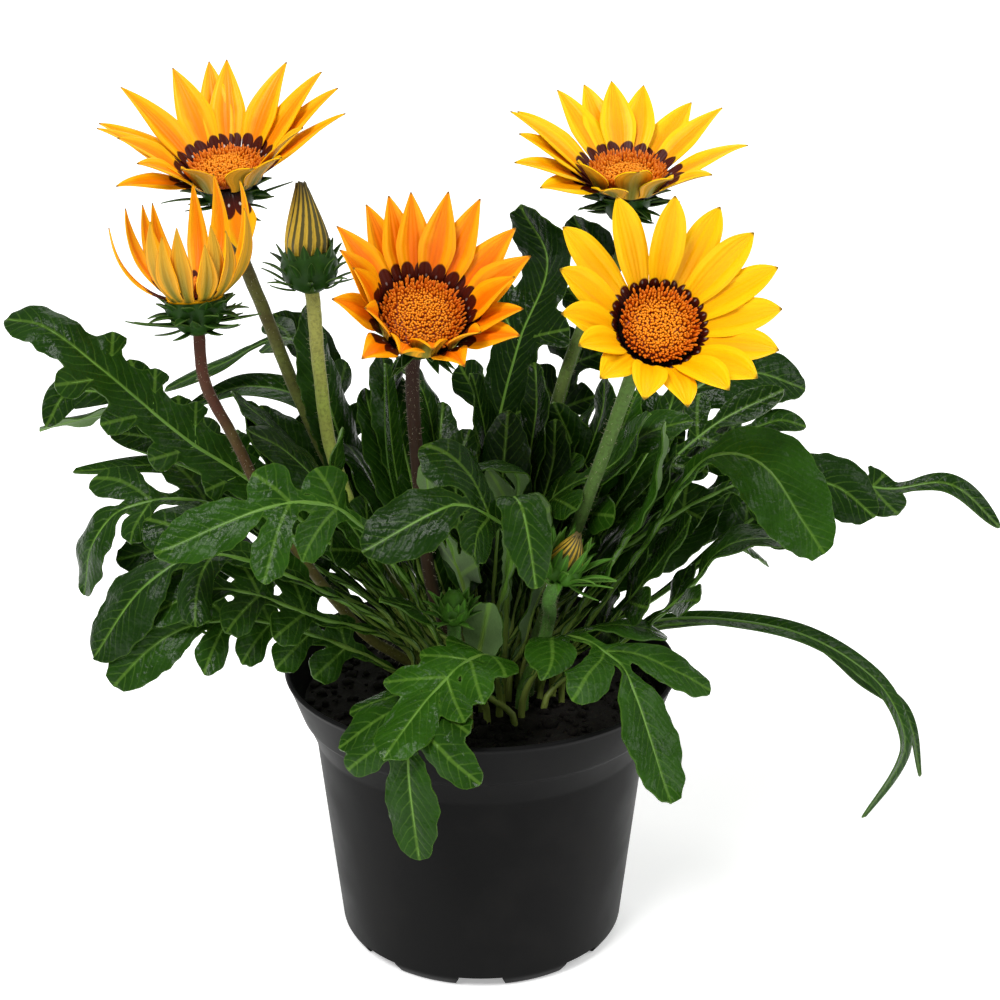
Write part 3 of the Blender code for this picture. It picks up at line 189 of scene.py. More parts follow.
# Rib points, face, blade length, web half width, lobe pairs, first and last lobe, lobe width, end lobe
# and its width; for a leaf that shares another one's piece, the name of that one; the last number,
# where there is one, is how long the lobes of the upper edge are for those of the lower one
LEAVES = [
    Leaf("leaf_right_strap", ((40, 12, 98), (63, 14, 104), (89, 14, 103), (111, 12, 98), (131, 8, 86),
                              (140, 4, 74), (142, 0, 61), (129, -4, 39)),
         45, 140, 2.2, 0, 0, 0, 0, 130, 9.0),
    Leaf("leaf_right_strap_thin", ((47, 20, 93), (81, 24, 95), (113, 22, 89), (130, 18, 76), (145, 14, 65),
                                   (151, 10, 43)),
         45, 110, 1.6, 0, 0, 0, 0, 100, 7.0),
    Leaf("leaf_front_low", ((-3, -34, 102), (-12, -46, 106), (-19, -60, 104), (-21, -70, 95),
                            (-18, -75, 64)),
         0, 66, 2.0, 3, 21, 22, 11, 36, 17),
    Leaf("leaf_front_left", ((4, -28, 109), (-3, -36, 113), (-15, -48, 106), (-28, -64, 94)),
         0, 56, 2.0, 3, 12, 18, 10, 26, 18),
    Leaf("leaf_front_right", ((21, -24, 108), (28, -34, 119), (41, -46, 117), (46, -54, 112), (57, -76, 83)),
         0, 80, 2.2, 2, 29, 27, 14, 42, 20),
    Leaf("leaf_low_left", ((-30, -22, 103), (-43, -28, 113), (-68, -38, 126), (-88, -44, 127),
                           (-100, -47, 121), (-112, -49, 109)),
         55, 88, 2.2, 4, 11, 19, 11, 34, 17, "", 0.8),
    Leaf("leaf_bright_left", ((-13, -24, 113), (-27, -38, 146), (-41, -48, 166), (-53, -52, 170),
                              (-66, -55, 168), (-94, -60, 157)),
         50, 62, 2.0, 2, 16, 20, 12.5, 33, 16, "", 0.65),
    Leaf("leaf_centre_dark", ((3, -18, 111), (10, -38, 153), (-2, -46, 166), (-9, -50, 168),
                              (-34, -56, 156)),
         45, 52, 2.0, 1, 24, 24, 16, 33, 20),
    Leaf("leaf_upper_left", ((-26, -14, 120), (-56, -20, 152), (-74, -24, 169), (-90, -26, 181),
                             (-114, -28, 204), (-131, -24, 216), (-144, -18, 217)),
         45, 110, 6.5, 5, 5, 9, 9, 26, 14, "", 0.8),
    Leaf("leaf_right_fold", ((32, -6, 106), (53, -18, 145), (69, -28, 175), (84, -36, 177),
                             (98, -41, 159), (104, -42, 150)),
         40, 58, 3.0, 0, 0, 0, 0, 50, 26),
    Leaf("leaf_right_long", ((36, 2, 102), (61, 6, 118), (90, 10, 142), (114, 12, 153), (134, 10, 152),
                             (152, 6, 155), (168, 2, 142)),
         35, 100, 2.0, 3, 20, 12, 12, 34, 8, "", 0.4),
    Leaf("leaf_tall_back", ((0, 12, 105), (5, 24, 164), (13, 30, 197), (22, 34, 222), (13, 32, 241)),
         0, 112, 8.0, 3, 12, 12, 13, 30, 20),
    Leaf("leaf_tall_right", ((10, 14, 111), (26, 32, 169), (39, 40, 218), (31, 38, 238)),
         0, 76, 2.5, 3, 13, 11, 12, 26, 18),
    Leaf("leaf_right_lobed", ((33, 8, 107), (59, 20, 142), (78, 26, 160), (98, 30, 169), (108, 30, 167)),
         30, 74, 1.8, 4, 14, 12, 6, 18, 9),
    Leaf("leaf_right_back", ((30, 12, 112), (53, 28, 160), (73, 34, 180), (90, 36, 184), (108, 37, 178)),
         35, 88, 3.0, 2, 15, 12, 14, 50, 24),
    Leaf("leaf_right_bright", ((26, -10, 107), (44, -22, 143), (52, -26, 161), (57, -28, 187)),
         15, 62, 3.0, 1, 15, 15, 12, 40, 19),
    Leaf("leaf_right_low", ((29, -10, 100), (39, -14, 111), (52, -22, 132), (66, -28, 156)),
         30, 60, 2.0, 2, 15, 16, 12, 28, 16),
    Leaf("leaf_right_blade", ((36, -2, 98), (60, -4, 122), (73, -6, 139), (95, -8, 142)),
         25, 60, 2.0, 1, 15, 15, 12, 36, 16),
    Leaf("leaf_big_dark_left", ((-19, -20, 108), (-50, -30, 133), (-82, -38, 148), (-101, -43, 140),
                                (-118, -45, 117)),
         40, 62, 2.5, 1, 20, 20, 16, 38, 21),
    Leaf("leaf_curled_left", ((-29, -14, 116), (-57, -20, 139), (-86, -28, 161), (-110, -32, 161),
                              (-121, -34, 150), (-125, -33, 132)),
         25, 66, 2.5, 2, 14, 15, 11, 32, 16),
    Leaf("leaf_strap_left", ((-30, -6, 113), (-61, -4, 140), (-95, -8, 165), (-130, -10, 165)),
         0, 70, 3.0, 0, 0, 0, 0, 64, 12),
    Leaf("leaf_grey_left", ((-33, 4, 119), (-72, 10, 159), (-98, 14, 173), (-114, 16, 177), (-144, 18, 170)),
         -25, 70, 2.2, 2, 15, 13, 11, 30, 14),
    Leaf("leaf_arched_left", ((-27, 10, 113), (-45, 20, 155), (-57, 24, 177), (-78, 26, 183),
                              (-98, 27, 176)),
         15, 84, 2.0, 0, 0, 0, 0, 76, 12),
    Leaf("leaf_fern_left", ((-24, 14, 119), (-44, 28, 163), (-61, 34, 195), (-87, 38, 186), (-106, 38, 177)),
         10, 84, 1.8, 2, 12, 12, 9, 34, 11),
    Leaf("leaf_upright_left", ((-24, 12, 112), (-47, 26, 153), (-56, 32, 193), (-70, 32, 207)),
         20, 92, 4.0, 2, 13, 11, 11, 34, 15),
    Leaf("leaf_upright_middle", ((-17, 6, 107), (-34, 10, 155), (-44, 14, 188), (-46, 15, 205)),
         25, 86, 2.0, 0, 0, 0, 0, 78, 17),
    Leaf("leaf_upright_slim", ((-13, 2, 109), (-27, 2, 158), (-30, 2, 197)),
         20, 74, 2.0, 0, 0, 0, 0, 66, 12),
    Leaf("leaf_under_bloom", ((15, 0, 110), (27, -6, 153), (48, -12, 169), (57, -14, 185)),
         15, 72, 3.0, 2, 14, 14, 12, 32, 18),
    Leaf("leaf_curl_centre", ((-11, -20, 98), (-25, -28, 117), (-38, -40, 146), (-45, -45, 162),
                              (-42, -42, 182)),
         30, 66, 2.0, 0, 0, 0, 0, 48, 14),
    Leaf("leaf_droop_centre", ((8, -14, 109), (9, -28, 144), (10, -38, 166), (13, -46, 165), (17, -52, 143)),
         0, 48, 2.0, 0, 0, 0, 0, 38, 15),
    Leaf("leaf_small_centre", ((3, -22, 95), (5, -30, 113), (8, -33, 130)),
         0, 26, 2.0, 0, 0, 0, 0, 22, 13),
    Leaf("leaf_middle", ((6, -2, 107), (11, -8, 148), (10, -12, 167), (-6, -18, 168)),
         20, 46, 1.8, 1, 17, 17, 13, 26, 15),
    Leaf("leaf_fill_left_low", ((-23, -10, 107), (-48, -16, 124), (-75, -24, 136), (-97, -28, 128)),
         35, 60, 2.0, 2, 15, 15, 12, 28, 15),
    Leaf("leaf_back_left", ((-20, 20, 108), (-46, 44, 130), (-68, 64, 130), (-86, 80, 114)),
         0, 76, 2.2, 3, 13, 17, 12, 28, 17),
    Leaf("leaf_back_middle", ((-6, 24, 108), (-14, 52, 132), (-20, 78, 130), (-24, 98, 112)),
         0, 76, 2.2, 3, 13, 17, 12, 28, 17),
    Leaf("leaf_back_right", ((12, 22, 108), (32, 50, 132), (46, 72, 132), (58, 92, 116)),
         0, 76, 2.2, 3, 13, 17, 12, 28, 17),
    Leaf("leaf_back_far_right", ((26, 16, 106), (56, 38, 124), (82, 54, 122), (102, 64, 104)),
         0, 76, 2.2, 3, 13, 17, 12, 28, 17),
    Leaf("leaf_right_wide", ((21, -8, 117), (38, -14, 150), (51, -16, 166), (66, -18, 172)),
         25, 60, 2.4, 1, 15, 15, 12, 36, 16),
    Leaf("leaf_front_small", ((-1, -26, 107), (-9, -32, 127), (-20, -38, 133)),
         10, 36, 2.0, 0, 0, 0, 0, 30, 13),
    Leaf("second_behind_centre", ((4, 8, 114), (8, 12, 148), (6, 14, 171), (2, 14, 190)),
         10, 76, 2.4, 1, 15, 15, 13, 50, 17, "leaf_tall_right"),
    Leaf("second_right_upright", ((16, 2, 116), (25, 8, 149), (30, 10, 169), (24, 12, 185)),
         10, 70, 2.4, 1, 15, 15, 13, 46, 17, "leaf_right_long"),
    Leaf("second_right_high", ((19, -4, 119), (35, -2, 153), (46, 2, 174), (52, 6, 188)),
         15, 72, 2.4, 1, 16, 16, 13, 46, 17, "leaf_right_fold"),
    Leaf("second_left_high", ((-26, -2, 118), (-47, -2, 153), (-60, -4, 169), (-72, -6, 177)),
         25, 68, 2.4, 1, 16, 16, 13, 42, 17, "leaf_centre_dark"),
    Leaf("second_left_upright", ((-14, 10, 113), (-27, 16, 153), (-30, 18, 173), (-27, 18, 193)),
         10, 70, 2.4, 1, 14, 14, 12, 46, 15, "leaf_tall_back"),
    Leaf("second_centre", ((-3, -12, 108), (-9, -18, 138), (-15, -22, 153), (-17, -20, 169)),
         15, 52, 2.2, 1, 14, 14, 12, 32, 15, "leaf_upper_left"),
    Leaf("second_front_right", ((13, -18, 107), (18, -24, 127), (25, -26, 142)),
         10, 40, 2.0, 0, 0, 0, 0, 34, 13, "leaf_droop_centre"),
]

# Small lobed leaves that fill both sides of the tuft in the scene alone
SIDE_YOUNG = [
    Leaf("young_left_round", ((-30, -6, 118), (-62, -12, 148), (-88, -18, 168), (-108, -22, 177)),
         60, 60, 1.6, 1, 0, 9, 9, 30, 15, "leaf_big_dark_left"),
    Leaf("young_left_fern", ((-26, 4, 116), (-60, 8, 146), (-92, 10, 166), (-120, 10, 172)),
         50, 80, 1.6, 4, 6, 12, 9, 26, 11, "leaf_big_dark_left"),
    Leaf("young_left_grey", ((-28, 8, 116), (-70, 14, 150), (-108, 16, 178), (-132, 14, 184),
                             (-140, 10, 174)),
         70, 70, 1.6, 3, 5, 11, 9, 30, 11, "leaf_big_dark_left"),
    Leaf("young_left_low", ((-26, -2, 108), (-60, -6, 128), (-92, -10, 140), (-116, -12, 136)),
         60, 74, 1.6, 3, 6, 12, 11, 30, 15, "leaf_big_dark_left"),
    Leaf("young_right_fern", ((22, 6, 116), (52, 12, 150), (76, 16, 172), (98, 16, 184)),
         50, 76, 1.6, 4, 6, 13, 8, 24, 10, "leaf_right_back"),
    Leaf("young_right_round", ((24, 4, 112), (58, 4, 142), (88, 2, 158), (112, -2, 158), (126, -4, 148)),
         60, 76, 1.8, 2, 6, 14, 13, 34, 20, "leaf_right_back"),
]

# How bright and yellow a leaf is against the others, from 0 to 1; partly the leaf's own tone and partly
# painted light: the leaves in shade at the back and in the middle get the darkest greens, the sunlit ones at
# the front and the one with a soft sheen the brightest
LEAF_TONES_AND_PAINTED_LIGHT = {
    "leaf_bright_left": 0.75, "leaf_front_left": 0.95, "leaf_front_low": 0.6, "leaf_front_right": 0.75,
    "leaf_right_strap": 0.6, "leaf_right_strap_thin": 0.4, "leaf_upper_left": 0.5, "leaf_right_bright": 0.85,
    "leaf_low_left": 0.55, "leaf_small_centre": 0.8, "leaf_right_fold": 0.95,
    "leaf_tall_back": 0.0, "leaf_tall_right": 0.05,
    "leaf_big_dark_left": 0.15, "leaf_centre_dark": 0.2, "leaf_right_back": 0.15, "leaf_curled_left": 0.3,
}


@dataclass
class Bloom:
    """One open bloom: where its disc sits, how it leans, its petals and its stem."""
    name: str
    centre: tuple
    tilt: float
    towards: float
    disc: float
    length: float
    width: float
    petals: tuple
    stem: tuple
    stem_radius: float = STEM_RADIUS
    front_arch: float = FRONT_ARCH


# petals as angle round the bloom, rise above its plane and, where it differs, length from the centre
BLOOMS = [
    Bloom("bloom_left", (-78.5, 15, 252), 20, -100, 10.6, 43, 9.2,
          ((-178, 31), (-164, 36, 38), (-151, 17, 37), (-139, 33, 36), (-116, 37, 28), (-77, -38, 25),
           (-61, 34, 28), (-44, 33, 34), (-28, 39, 40), (8, 25), (21, 30, 45), (33, 34, 45), (56, 35),
           (90, 33), (99, 33), (118, 34), (151, 36, 44), (170, 27)),
          ((-34, 14, 124), (-59, 19, 180), (-69, 20, 208))),
    Bloom("bloom_right_back", (47, 35, 246), 17, -84, 10.8, 43, 9.2,
          ((-178, 28, 40), (-165, 19, 40), (-149, 14, 34), (-139, 36, 28), (-113, 23, 26), (-86, 38, 28),
           (-57, 31, 27), (-35, 26, 34), (4, 22, 41), (37, 25), (57, 20), (81, 25),
           (97, 27), (111, 26), (126, 26), (158, 26), (172, 31, 45)),
          ((13, 8, 117), (21, 20, 162), (32, 32, 197))),
    Bloom("bloom_centre", (-17, -35, 219), 42, -78, 11.8, 39, 9.2,
          ((-179, 47, 32), (-160, 35, 34), (-147, 45, 28), (-125, 21, 28), (-102, 36, 27), (-77, 42, 26),
           (-55, 29, 28), (-32, 42, 27), (-17, 30, 34), (-2, 35, 34), (16, 43, 34), (29, 36), (48, 34, 40),
           (71, 38, 41), (88, 40, 40), (108, 37), (119, 33), (128, 24), (149, 27, 38),
           (173, 44, 37)),
          ((-16, -8, 127), (-20, -13, 176)), front_arch=0.3),
    Bloom("bloom_right_front", (50, -60, 224), 54, -80, 10.4, 37, 11.0,
          ((-161, 34), (-141, 37), (-121, 35), (-96, 37), (-72, 35, 36), (-49, 39), (-30, 34), (-9, 30),
           (12, 33), (33, 34, 39), (54, 35, 39), (75, 30, 39), (99, 38, 39), (126, 31, 40),
           (151, 21, 40), (174, 31)),
          ((27, -12, 135), (39, -27, 180))),
]

# The half-open bloom's petals stand round an upright axis
CUP_BLOOM = Bloom("bloom_half_open", (-83, -34, 226), 4, 160, 7.5, 36, 7.5,
                  ((-165, 48, 33), (-125, 62, 30), (-112, 58, 26), (-94, 64, 27), (-64, 51, 25),
                   (-52, 60, 28), (-36, 55, 27), (-14, 56, 33), (24, 63, 38), (68, 62, 39), (91, 56, 38),
                   (124, 50, 35), (136, 53, 34), (158, 54, 34)),
                  ((-38, -14, 112), (-62, -24, 152), (-75, -29, 184)), 1.7)


@dataclass
class Bud:
    """One closed bud: its cup's foot, the way it points, its sizes and its stem."""
    name: str
    foot: tuple
    tilt: float
    towards: float
    cup_radius: float
    cup_height: float
    cone_radius: float
    cone_height: float
    bracts: int
    bract_length: float
    stem: tuple


BUDS = [
    Bud("bud_tall", (-52.5, 6, 219), 4, 180, 9.0, 13.0, 6.9, 21.0, 8, 8.0,
        ((-30, -5, 122), (-47, 1, 166), (-51, 4, 196))),
    Bud("bud_yellow_tip", (24, -32, 137), 22, -20, 6.3, 7.0, 5.2, 10.0, 7, 13.0,
        ((19, -18, 106), (22, -24, 122))),
    Bud("bud_green", (-8, -30, 122), 10, -100, 5.0, 7.0, 0.0, 5.0, 6, 6.5,
        ((-6, -26, 108),)),
]

# Colours of a stem at its foot and under its bloom
STEM_COLOURS = {
    "bloom_left": ("#74823a", "#43381a"),
    "bloom_right_back": ("#587230", "#4f5f28"),
    "bloom_centre": ("#33260f", "#2a110a"),
    "bloom_right_front": ("#527232", "#4c6829"),
    "bloom_half_open": ("#55541f", "#4a2415"),
    "bud_tall": ("#9ab04a", "#9a9a4e"),
    "bud_yellow_tip": ("#6a9a40", "#5a8a3a"),
    "bud_green": ("#6a9a40", "#5a8a3a"),
}

# How blunt a bloom's petals end, their width for that of the solid ones, and how far its dark spots
# reach for the length in the settings
PETAL_SHAPES = {
    "bloom_left": (1.35, 1.2, 1.7),
    "bloom_right_back": (1.5, 1.25, 1.8),
    "bloom_centre": (1.45, 1.14, 1.75),
    "bloom_right_front": (3.4, 0.84, 1.1),
    "bloom_half_open": (1.5, 0.82, 1.6),
}

# Colours of a bloom's petals: along the edges, and down the middle
PETAL_COLOURS = {
    "bloom_left": ("#ffc006", "#fb8c00"),
    "bloom_right_back": ("#ffd006", "#fda400"),
    "bloom_centre": ("#ffac06", "#f47800"),
    "bloom_right_front": ("#ffcb08", "#fdb800"),
    "bloom_half_open": ("#ffb406", "#f88400"),
}


def linear(code):
    """Scene-linear colour of an sRGB hex value."""
    parts = [int(code[start:start + 2], 16) / 255 for start in (1, 3, 5)]
    return tuple(part / 12.92 if part <= 0.04045 else ((part + 0.055) / 1.055) ** 2.4 for part in parts)


def paint(code):
    """Scene-linear colour of a hex value, with the alpha that a shader socket wants."""
    return (*linear(code), 1.0)


def colour(name, note, code):
    """A colour setting."""
    return bpy.props.FloatVectorProperty(name=name, description=note, default=linear(code), size=3,
                                         subtype="COLOR", min=0.0, max=1.0)


def length(name, note, millimetres):
    """A length setting, in metres as Blender keeps it."""
    return bpy.props.FloatProperty(name=name, description=note, default=millimetres * MM, min=0.0,
                                   unit="LENGTH", precision=5)


# Settings

class LeafSettings(bpy.types.PropertyGroup):
    """What a user would change on the leaves."""
    upper: colour("Upper side", "Dark green of a leaf's waxy upper side", "#122a07")
    bright: colour("Bright upper side", "Green of the young and sunlit leaves", "#356410")
    under: colour("Underside", "Grey green of the felted underside", "#4a6834")
    rib: colour("Rib", "Light green of stalks and ribs", "#719a38")
    sheet: length("Blade thickness", "How thick a blade is between its ribs", SHEET)


class BloomSettings(bpy.types.PropertyGroup):
    """What a user would change on the blooms and buds."""
    spot: colour("Spot", "Maroon of the spots round the disc", "#4a1206")
    back: colour("Back of petals", "Gold of the petals' outer side", "#d49a14")
    stripe: colour("Back stripe", "Olive stripe down the back of a petal", "#6e701e")
    floret: colour("Floret", "Orange of the disc florets", "#d66c04")
    tip: colour("Floret tip", "Yellow of the disc florets' tips", "#f7a214")
    cup: colour("Cup", "Green of the cup and its bracts", "#24460f")
    fresh: colour("Young cup", "Bright green of the youngest buds' cups", "#4c7f26")
    spot_length: length("Spot length", "How far the dark spots reach out from the disc", 5.0)


class PotSettings(bpy.types.PropertyGroup):
    """What a user would change on the pot and the soil."""
    plastic: colour("Plastic", "Satin black of the pot", "#151515")
    soil: colour("Soil", "Dark brown of damp potting soil", "#150e09")
    crumbs: bpy.props.IntProperty(name="Crumbs", description="How many loose crumbs lie on the soil",
                                  default=900, min=0)


class StageSettings(bpy.types.PropertyGroup):
    """The floor and the light."""
    floor: colour("Floor", "White of the floor", "#fbfbfb")
    glow: bpy.props.FloatProperty(name="Glow", description="How strongly the light table shines",
                                  default=0.35, min=0.0)
    key: bpy.props.FloatProperty(name="Main light", description="Strength of the main light",
                                 default=2.36, min=0.0)
    room: bpy.props.FloatProperty(name="Room light", description="Strength of the light from all round",
                                  default=0.32, min=0.0)


# Meshes

class Shape:
    """The faces of one piece in millimetres, with the three marks that its finishes read."""

    def __init__(self):
        self.points = []
        self.total = 0
        self.faces = []
        self.slots = []
        self.marks = []

    def add(self, points, faces, marks, slot=0, corner_marks=None):
        """Add points with their faces, and return the number of the first point."""
        self.points.append(np.asarray(points, float))
        self.total += len(points)
        self.cover(self.total - len(points), faces, marks, slot, corner_marks)
        return self.total - len(points)

    def cover(self, base, faces, marks, slot, corner_marks=None):
        """Add faces whose marks are given for each point, or for each corner of each face."""
        for number, face in enumerate(faces):
            self.faces.append([int(corner) + base for corner in face])
            if corner_marks is None:
                self.marks.extend(marks[corner] for corner in face)
            else:
                self.marks.extend(corner_marks[number])
        self.slots.extend([slot] * len(faces))

    def piece(self, name, materials, nodes, crease=50.0):
        """Make the object, ride it on the body and let it stand for its solids."""
        mesh = bpy.data.meshes.new(name)
        mesh.from_pydata((np.vstack(self.points) * MM).tolist(), [], self.faces)
        for material in materials:
            mesh.materials.append(material)
        mesh.polygons.foreach_set("material_index", self.slots)
        mesh.polygons.foreach_set("use_smooth", [True] * len(self.faces))
        layer = mesh.attributes.new("marks", "FLOAT_VECTOR", "CORNER")
        layer.data.foreach_set("vector", np.asarray(self.marks, np.float32).ravel())
        mesh.update()
        mesh.set_sharp_from_angle(angle=math.radians(crease))
        item = bpy.data.objects.new(name, mesh)
        bpy.context.scene.collection.objects.link(item)
        settle(item, nodes)
        return item


def settle(item, nodes):
    """Ride a piece on the body and hide the solids it stands for."""
    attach(item, "root")
    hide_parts(*nodes)


def unit(vectors):
    """Vectors of length one."""
    size = np.linalg.norm(vectors, axis=-1, keepdims=True)
    return vectors / np.maximum(size, 1e-9)


def two_sided(points, triangles, thick):
    """Points of a sheet's two sides, with its upper, lower and rim faces."""
    points = np.asarray(points, float)
    corners = np.asarray(triangles, int)
    first, second, third = (points[corners[:, index]] for index in range(3))
    facing = np.cross(second - first, third - first)
    normals = np.zeros_like(points)
    for index in range(3):
        np.add.at(normals, corners[:, index], facing)
    normals = unit(normals)
    both = np.vstack((points + normals * thick / 2, points - normals * thick / 2))
    count = len(points)
    lower = corners[:, ::-1] + count
    edges = {}
    for face in corners.tolist():
        for start, stop in zip(face, face[1:] + face[:1]):
            edges[(start, stop)] = True
    rim = [(stop, start, start + count, stop + count) for start, stop in edges if (stop, start) not in edges]
    return both, corners, lower, rim


def add_sheet(shape, points, triangles, marks, thick, upper_slot, lower_slot, corner_marks=None):
    """Add a thin sheet; its rim takes the upper side's finish."""
    both, upper, lower, rim = two_sided(points, triangles, thick)
    doubled = list(marks) + list(marks)
    lower_marks = None if corner_marks is None else [list(reversed(trio)) for trio in corner_marks]
    base = shape.add(both, upper, doubled, upper_slot, corner_marks)
    shape.cover(base, lower, doubled, lower_slot, lower_marks)
    shape.cover(base, rim, doubled, upper_slot)


def grid_triangles(rows, columns):
    """Triangles of a grid of points held row by row."""
    found = []
    for row in range(rows - 1):
        for column in range(columns - 1):
            corner = row * columns + column
            found.append((corner, corner + columns + 1, corner + 1))
            found.append((corner, corner + columns, corner + columns + 1))
    return found


def ring_faces(rings, around, base=0):
    """Faces between rings of points that follow one another from the point numbered base."""
    found = []
    for ring in range(rings - 1):
        here = base + ring * around
        for step in range(around):
            after = (step + 1) % around
            found.append((here + step, here + after, here + around + after, here + around + step))
    return found


def closed_rings(rings, around):
    """Faces between rings of points, with a flat face over each end."""
    ends = [list(reversed(range(around))), list(range((rings - 1) * around, rings * around))]
    return ring_faces(rings, around) + ends


def add_tube(shape, places, sides, heights, across, up, slot, marks, around=8):
    """Add a closed tube along places, with its own half width and half height at each."""
    count = len(places)
    points = []
    for index in range(count):
        for step in range(around):
            angle = step * math.tau / around
            points.append(places[index] + across[index] * sides[index] * math.cos(angle)
                          + up[index] * heights[index] * math.sin(angle))
    spread = [marks[index] for index in range(count) for step in range(around)]
    shape.add(points, closed_rings(count, around), spread, slot)


def add_lathe(shape, profile, around, place, slot, marks=None, wobble=None):
    """Add a solid of revolution whose (radius, height) profile starts and ends on the axis."""
    points = [(0, 0, profile[0][1])]
    spread = [(0, 0, 0)]
    rings = profile[1:-1]
    for level, (radius, height) in enumerate(rings):
        for step in range(around):
            angle = step * math.tau / around
            rise = wobble(radius, angle, level) if wobble else 0.0
            points.append((radius * math.cos(angle), radius * math.sin(angle), height + rise))
            spread.append((level / len(rings), step / around, radius))
    points.append((0, 0, profile[-1][1]))
    spread.append((1, 0, 0))
    faces = []
    last = len(points) - 1
    for step in range(around):
        after = (step + 1) % around
        faces.append((0, 1 + after, 1 + step))
        faces.append((last, last - around + step, last - around + after))
    faces.extend(ring_faces(len(rings), around, 1))
    placed = [place @ Vector(point) for point in points]
    marks = [marks] * len(points) if marks else spread
    shape.add([tuple(point) for point in placed], faces, marks, slot)


def smooth_path(points, first_way, steps):
    """Points of a smooth curve through the given ones, leaving the first along first_way."""
    points = [Vector(point) for point in points]
    ways = [first_way, first_way]
    for index in range(2, len(points) - 1):
        ways.append((points[index + 1] - points[index - 1]).normalized())
    ways.append((points[-1] - points[-2]).normalized())
    path = []
    for index in range(len(points) - 1):
        start = points[index]
        stop = points[index + 1]
        reach = (stop - start).length
        for step in range(steps):
            u = step / steps
            path.append(start * (2 * u**3 - 3 * u**2 + 1) + ways[index] * reach * (u**3 - 2 * u**2 + u)
                        + stop * (3 * u**2 - 2 * u**3) + ways[index + 1] * reach * (u**3 - u**2))
    path.append(points[-1])
    return path


def lean_axes(tilt, towards):
    """East, north and normal of a bloom that leans by tilt degrees towards an azimuth."""
    lean = math.radians(tilt)
    way = math.radians(towards)
    normal = Vector((math.sin(lean) * math.cos(way), math.sin(lean) * math.sin(way), math.cos(lean)))
    east = Vector((0, 1, 0)).cross(normal).normalized()
    return east, normal.cross(east), normal


def axes_matrix(axes, origin):
    """Placement in millimetres of a piece whose own axes are these."""
    return Matrix.Translation(Vector(origin)) @ Matrix(axes).transposed().to_4x4()


def node_corners(node):
    """Corners of a solid, in millimetres."""
    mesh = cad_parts[node].data
    corners = np.zeros(len(mesh.vertices) * 3)
    mesh.vertices.foreach_get("co", corners)
    return corners.reshape(-1, 3) / MM


def foot_of(node):
    """Where a stalk or stem stands, from the corners of its solid's foot in the soil."""
    corners = node_corners(node)
    low = np.abs(corners[:, 2] - PIT_BOTTOM - PIT_CLEAR) < 0.05
    foot = corners[low & (np.hypot(corners[:, 0], corners[:, 1]) < CROWN_REACH)]
    middle = (foot.min(axis=0) + foot.max(axis=0)) / 2
    return Vector((middle[0], middle[1], 0))


# Shader nodes

def add_node(tree, kind, inputs=(), **settings):
    """Add a shader node with its settings; inputs are values, sockets or nodes, by place or name."""
    item = tree.nodes.new("ShaderNode" + kind)
    for name, value in settings.items():
        setattr(item, name, value)
    pairs = inputs.items() if isinstance(inputs, dict) else enumerate(inputs)
    for key, value in pairs:
        if value is None:
            continue
        if isinstance(value, bpy.types.Node):
            value = value.outputs[0]
        if isinstance(value, bpy.types.NodeSocket):
            tree.links.new(value, item.inputs[key])
        else:
            item.inputs[key].default_value = value
    return item


def start_material(name, roughness, ior, specular=0.5):
    """A material with a Principled shader; returns it with its node tree and shader."""
    material = bpy.data.materials.new(name)
    material.use_nodes = True
    shader = material.node_tree.nodes["Principled BSDF"]
    shader.inputs["Roughness"].default_value = roughness
    shader.inputs["IOR"].default_value = ior
    shader.inputs["Specular IOR Level"].default_value = specular
    return material, material.node_tree, shader


def read_marks(tree):
    """The three marks of the mesh, as separate sockets."""
    layer = add_node(tree, "Attribute", attribute_name="marks")
    return add_node(tree, "SeparateXYZ", (layer.outputs["Vector"],)).outputs


def per_mm(size):
    """Texture scale for features of this many millimetres."""
    return 1.0 / (size * MM)


def object_place(tree):
    """Where a point lies in the piece, which the textures are spread over."""
    return add_node(tree, "TexCoord").outputs["Object"]


def cloud(tree, place, size, detail=2.0, roughness=0.5):
    """Noise with features of this many millimetres."""
    return add_node(tree, "TexNoise", {"Vector": place, "Scale": per_mm(size), "Detail": detail,
                                       "Roughness": roughness})


def calc(tree, operation, *values):
    """One step of arithmetic."""
    return add_node(tree, "Math", values, operation=operation)


def ramp(tree, value, low, high, start, stop, smooth=False):
    """Value that runs from start to stop while another one runs from low to high."""
    return add_node(tree, "MapRange", (value, low, high, start, stop),
                    interpolation_type="SMOOTHSTEP" if smooth else "LINEAR")


def mix(tree, share, first, second):
    """Two colours, mixed by the share of the second."""
    return add_node(tree, "MixRGB", (share, first, second))


def feed(tree, node, shader, socket):
    """Lead a node's result to one of the shader's sockets."""
    tree.links.new(node.outputs[0], shader.inputs[socket])


def roughen(tree, height, shader, strength, distance):
    """Let a height of this many millimetres turn the shader's normal."""
    feed(tree, add_node(tree, "Bump", {"Height": height, "Strength": strength, "Distance": distance * MM}),
         shader, "Normal")


def petal_strands(tree, across):
    """Fine veins that run lengthwise, about seven across a petal."""
    return calc(tree, "SINE", calc(tree, "MULTIPLY", across, 21.0))


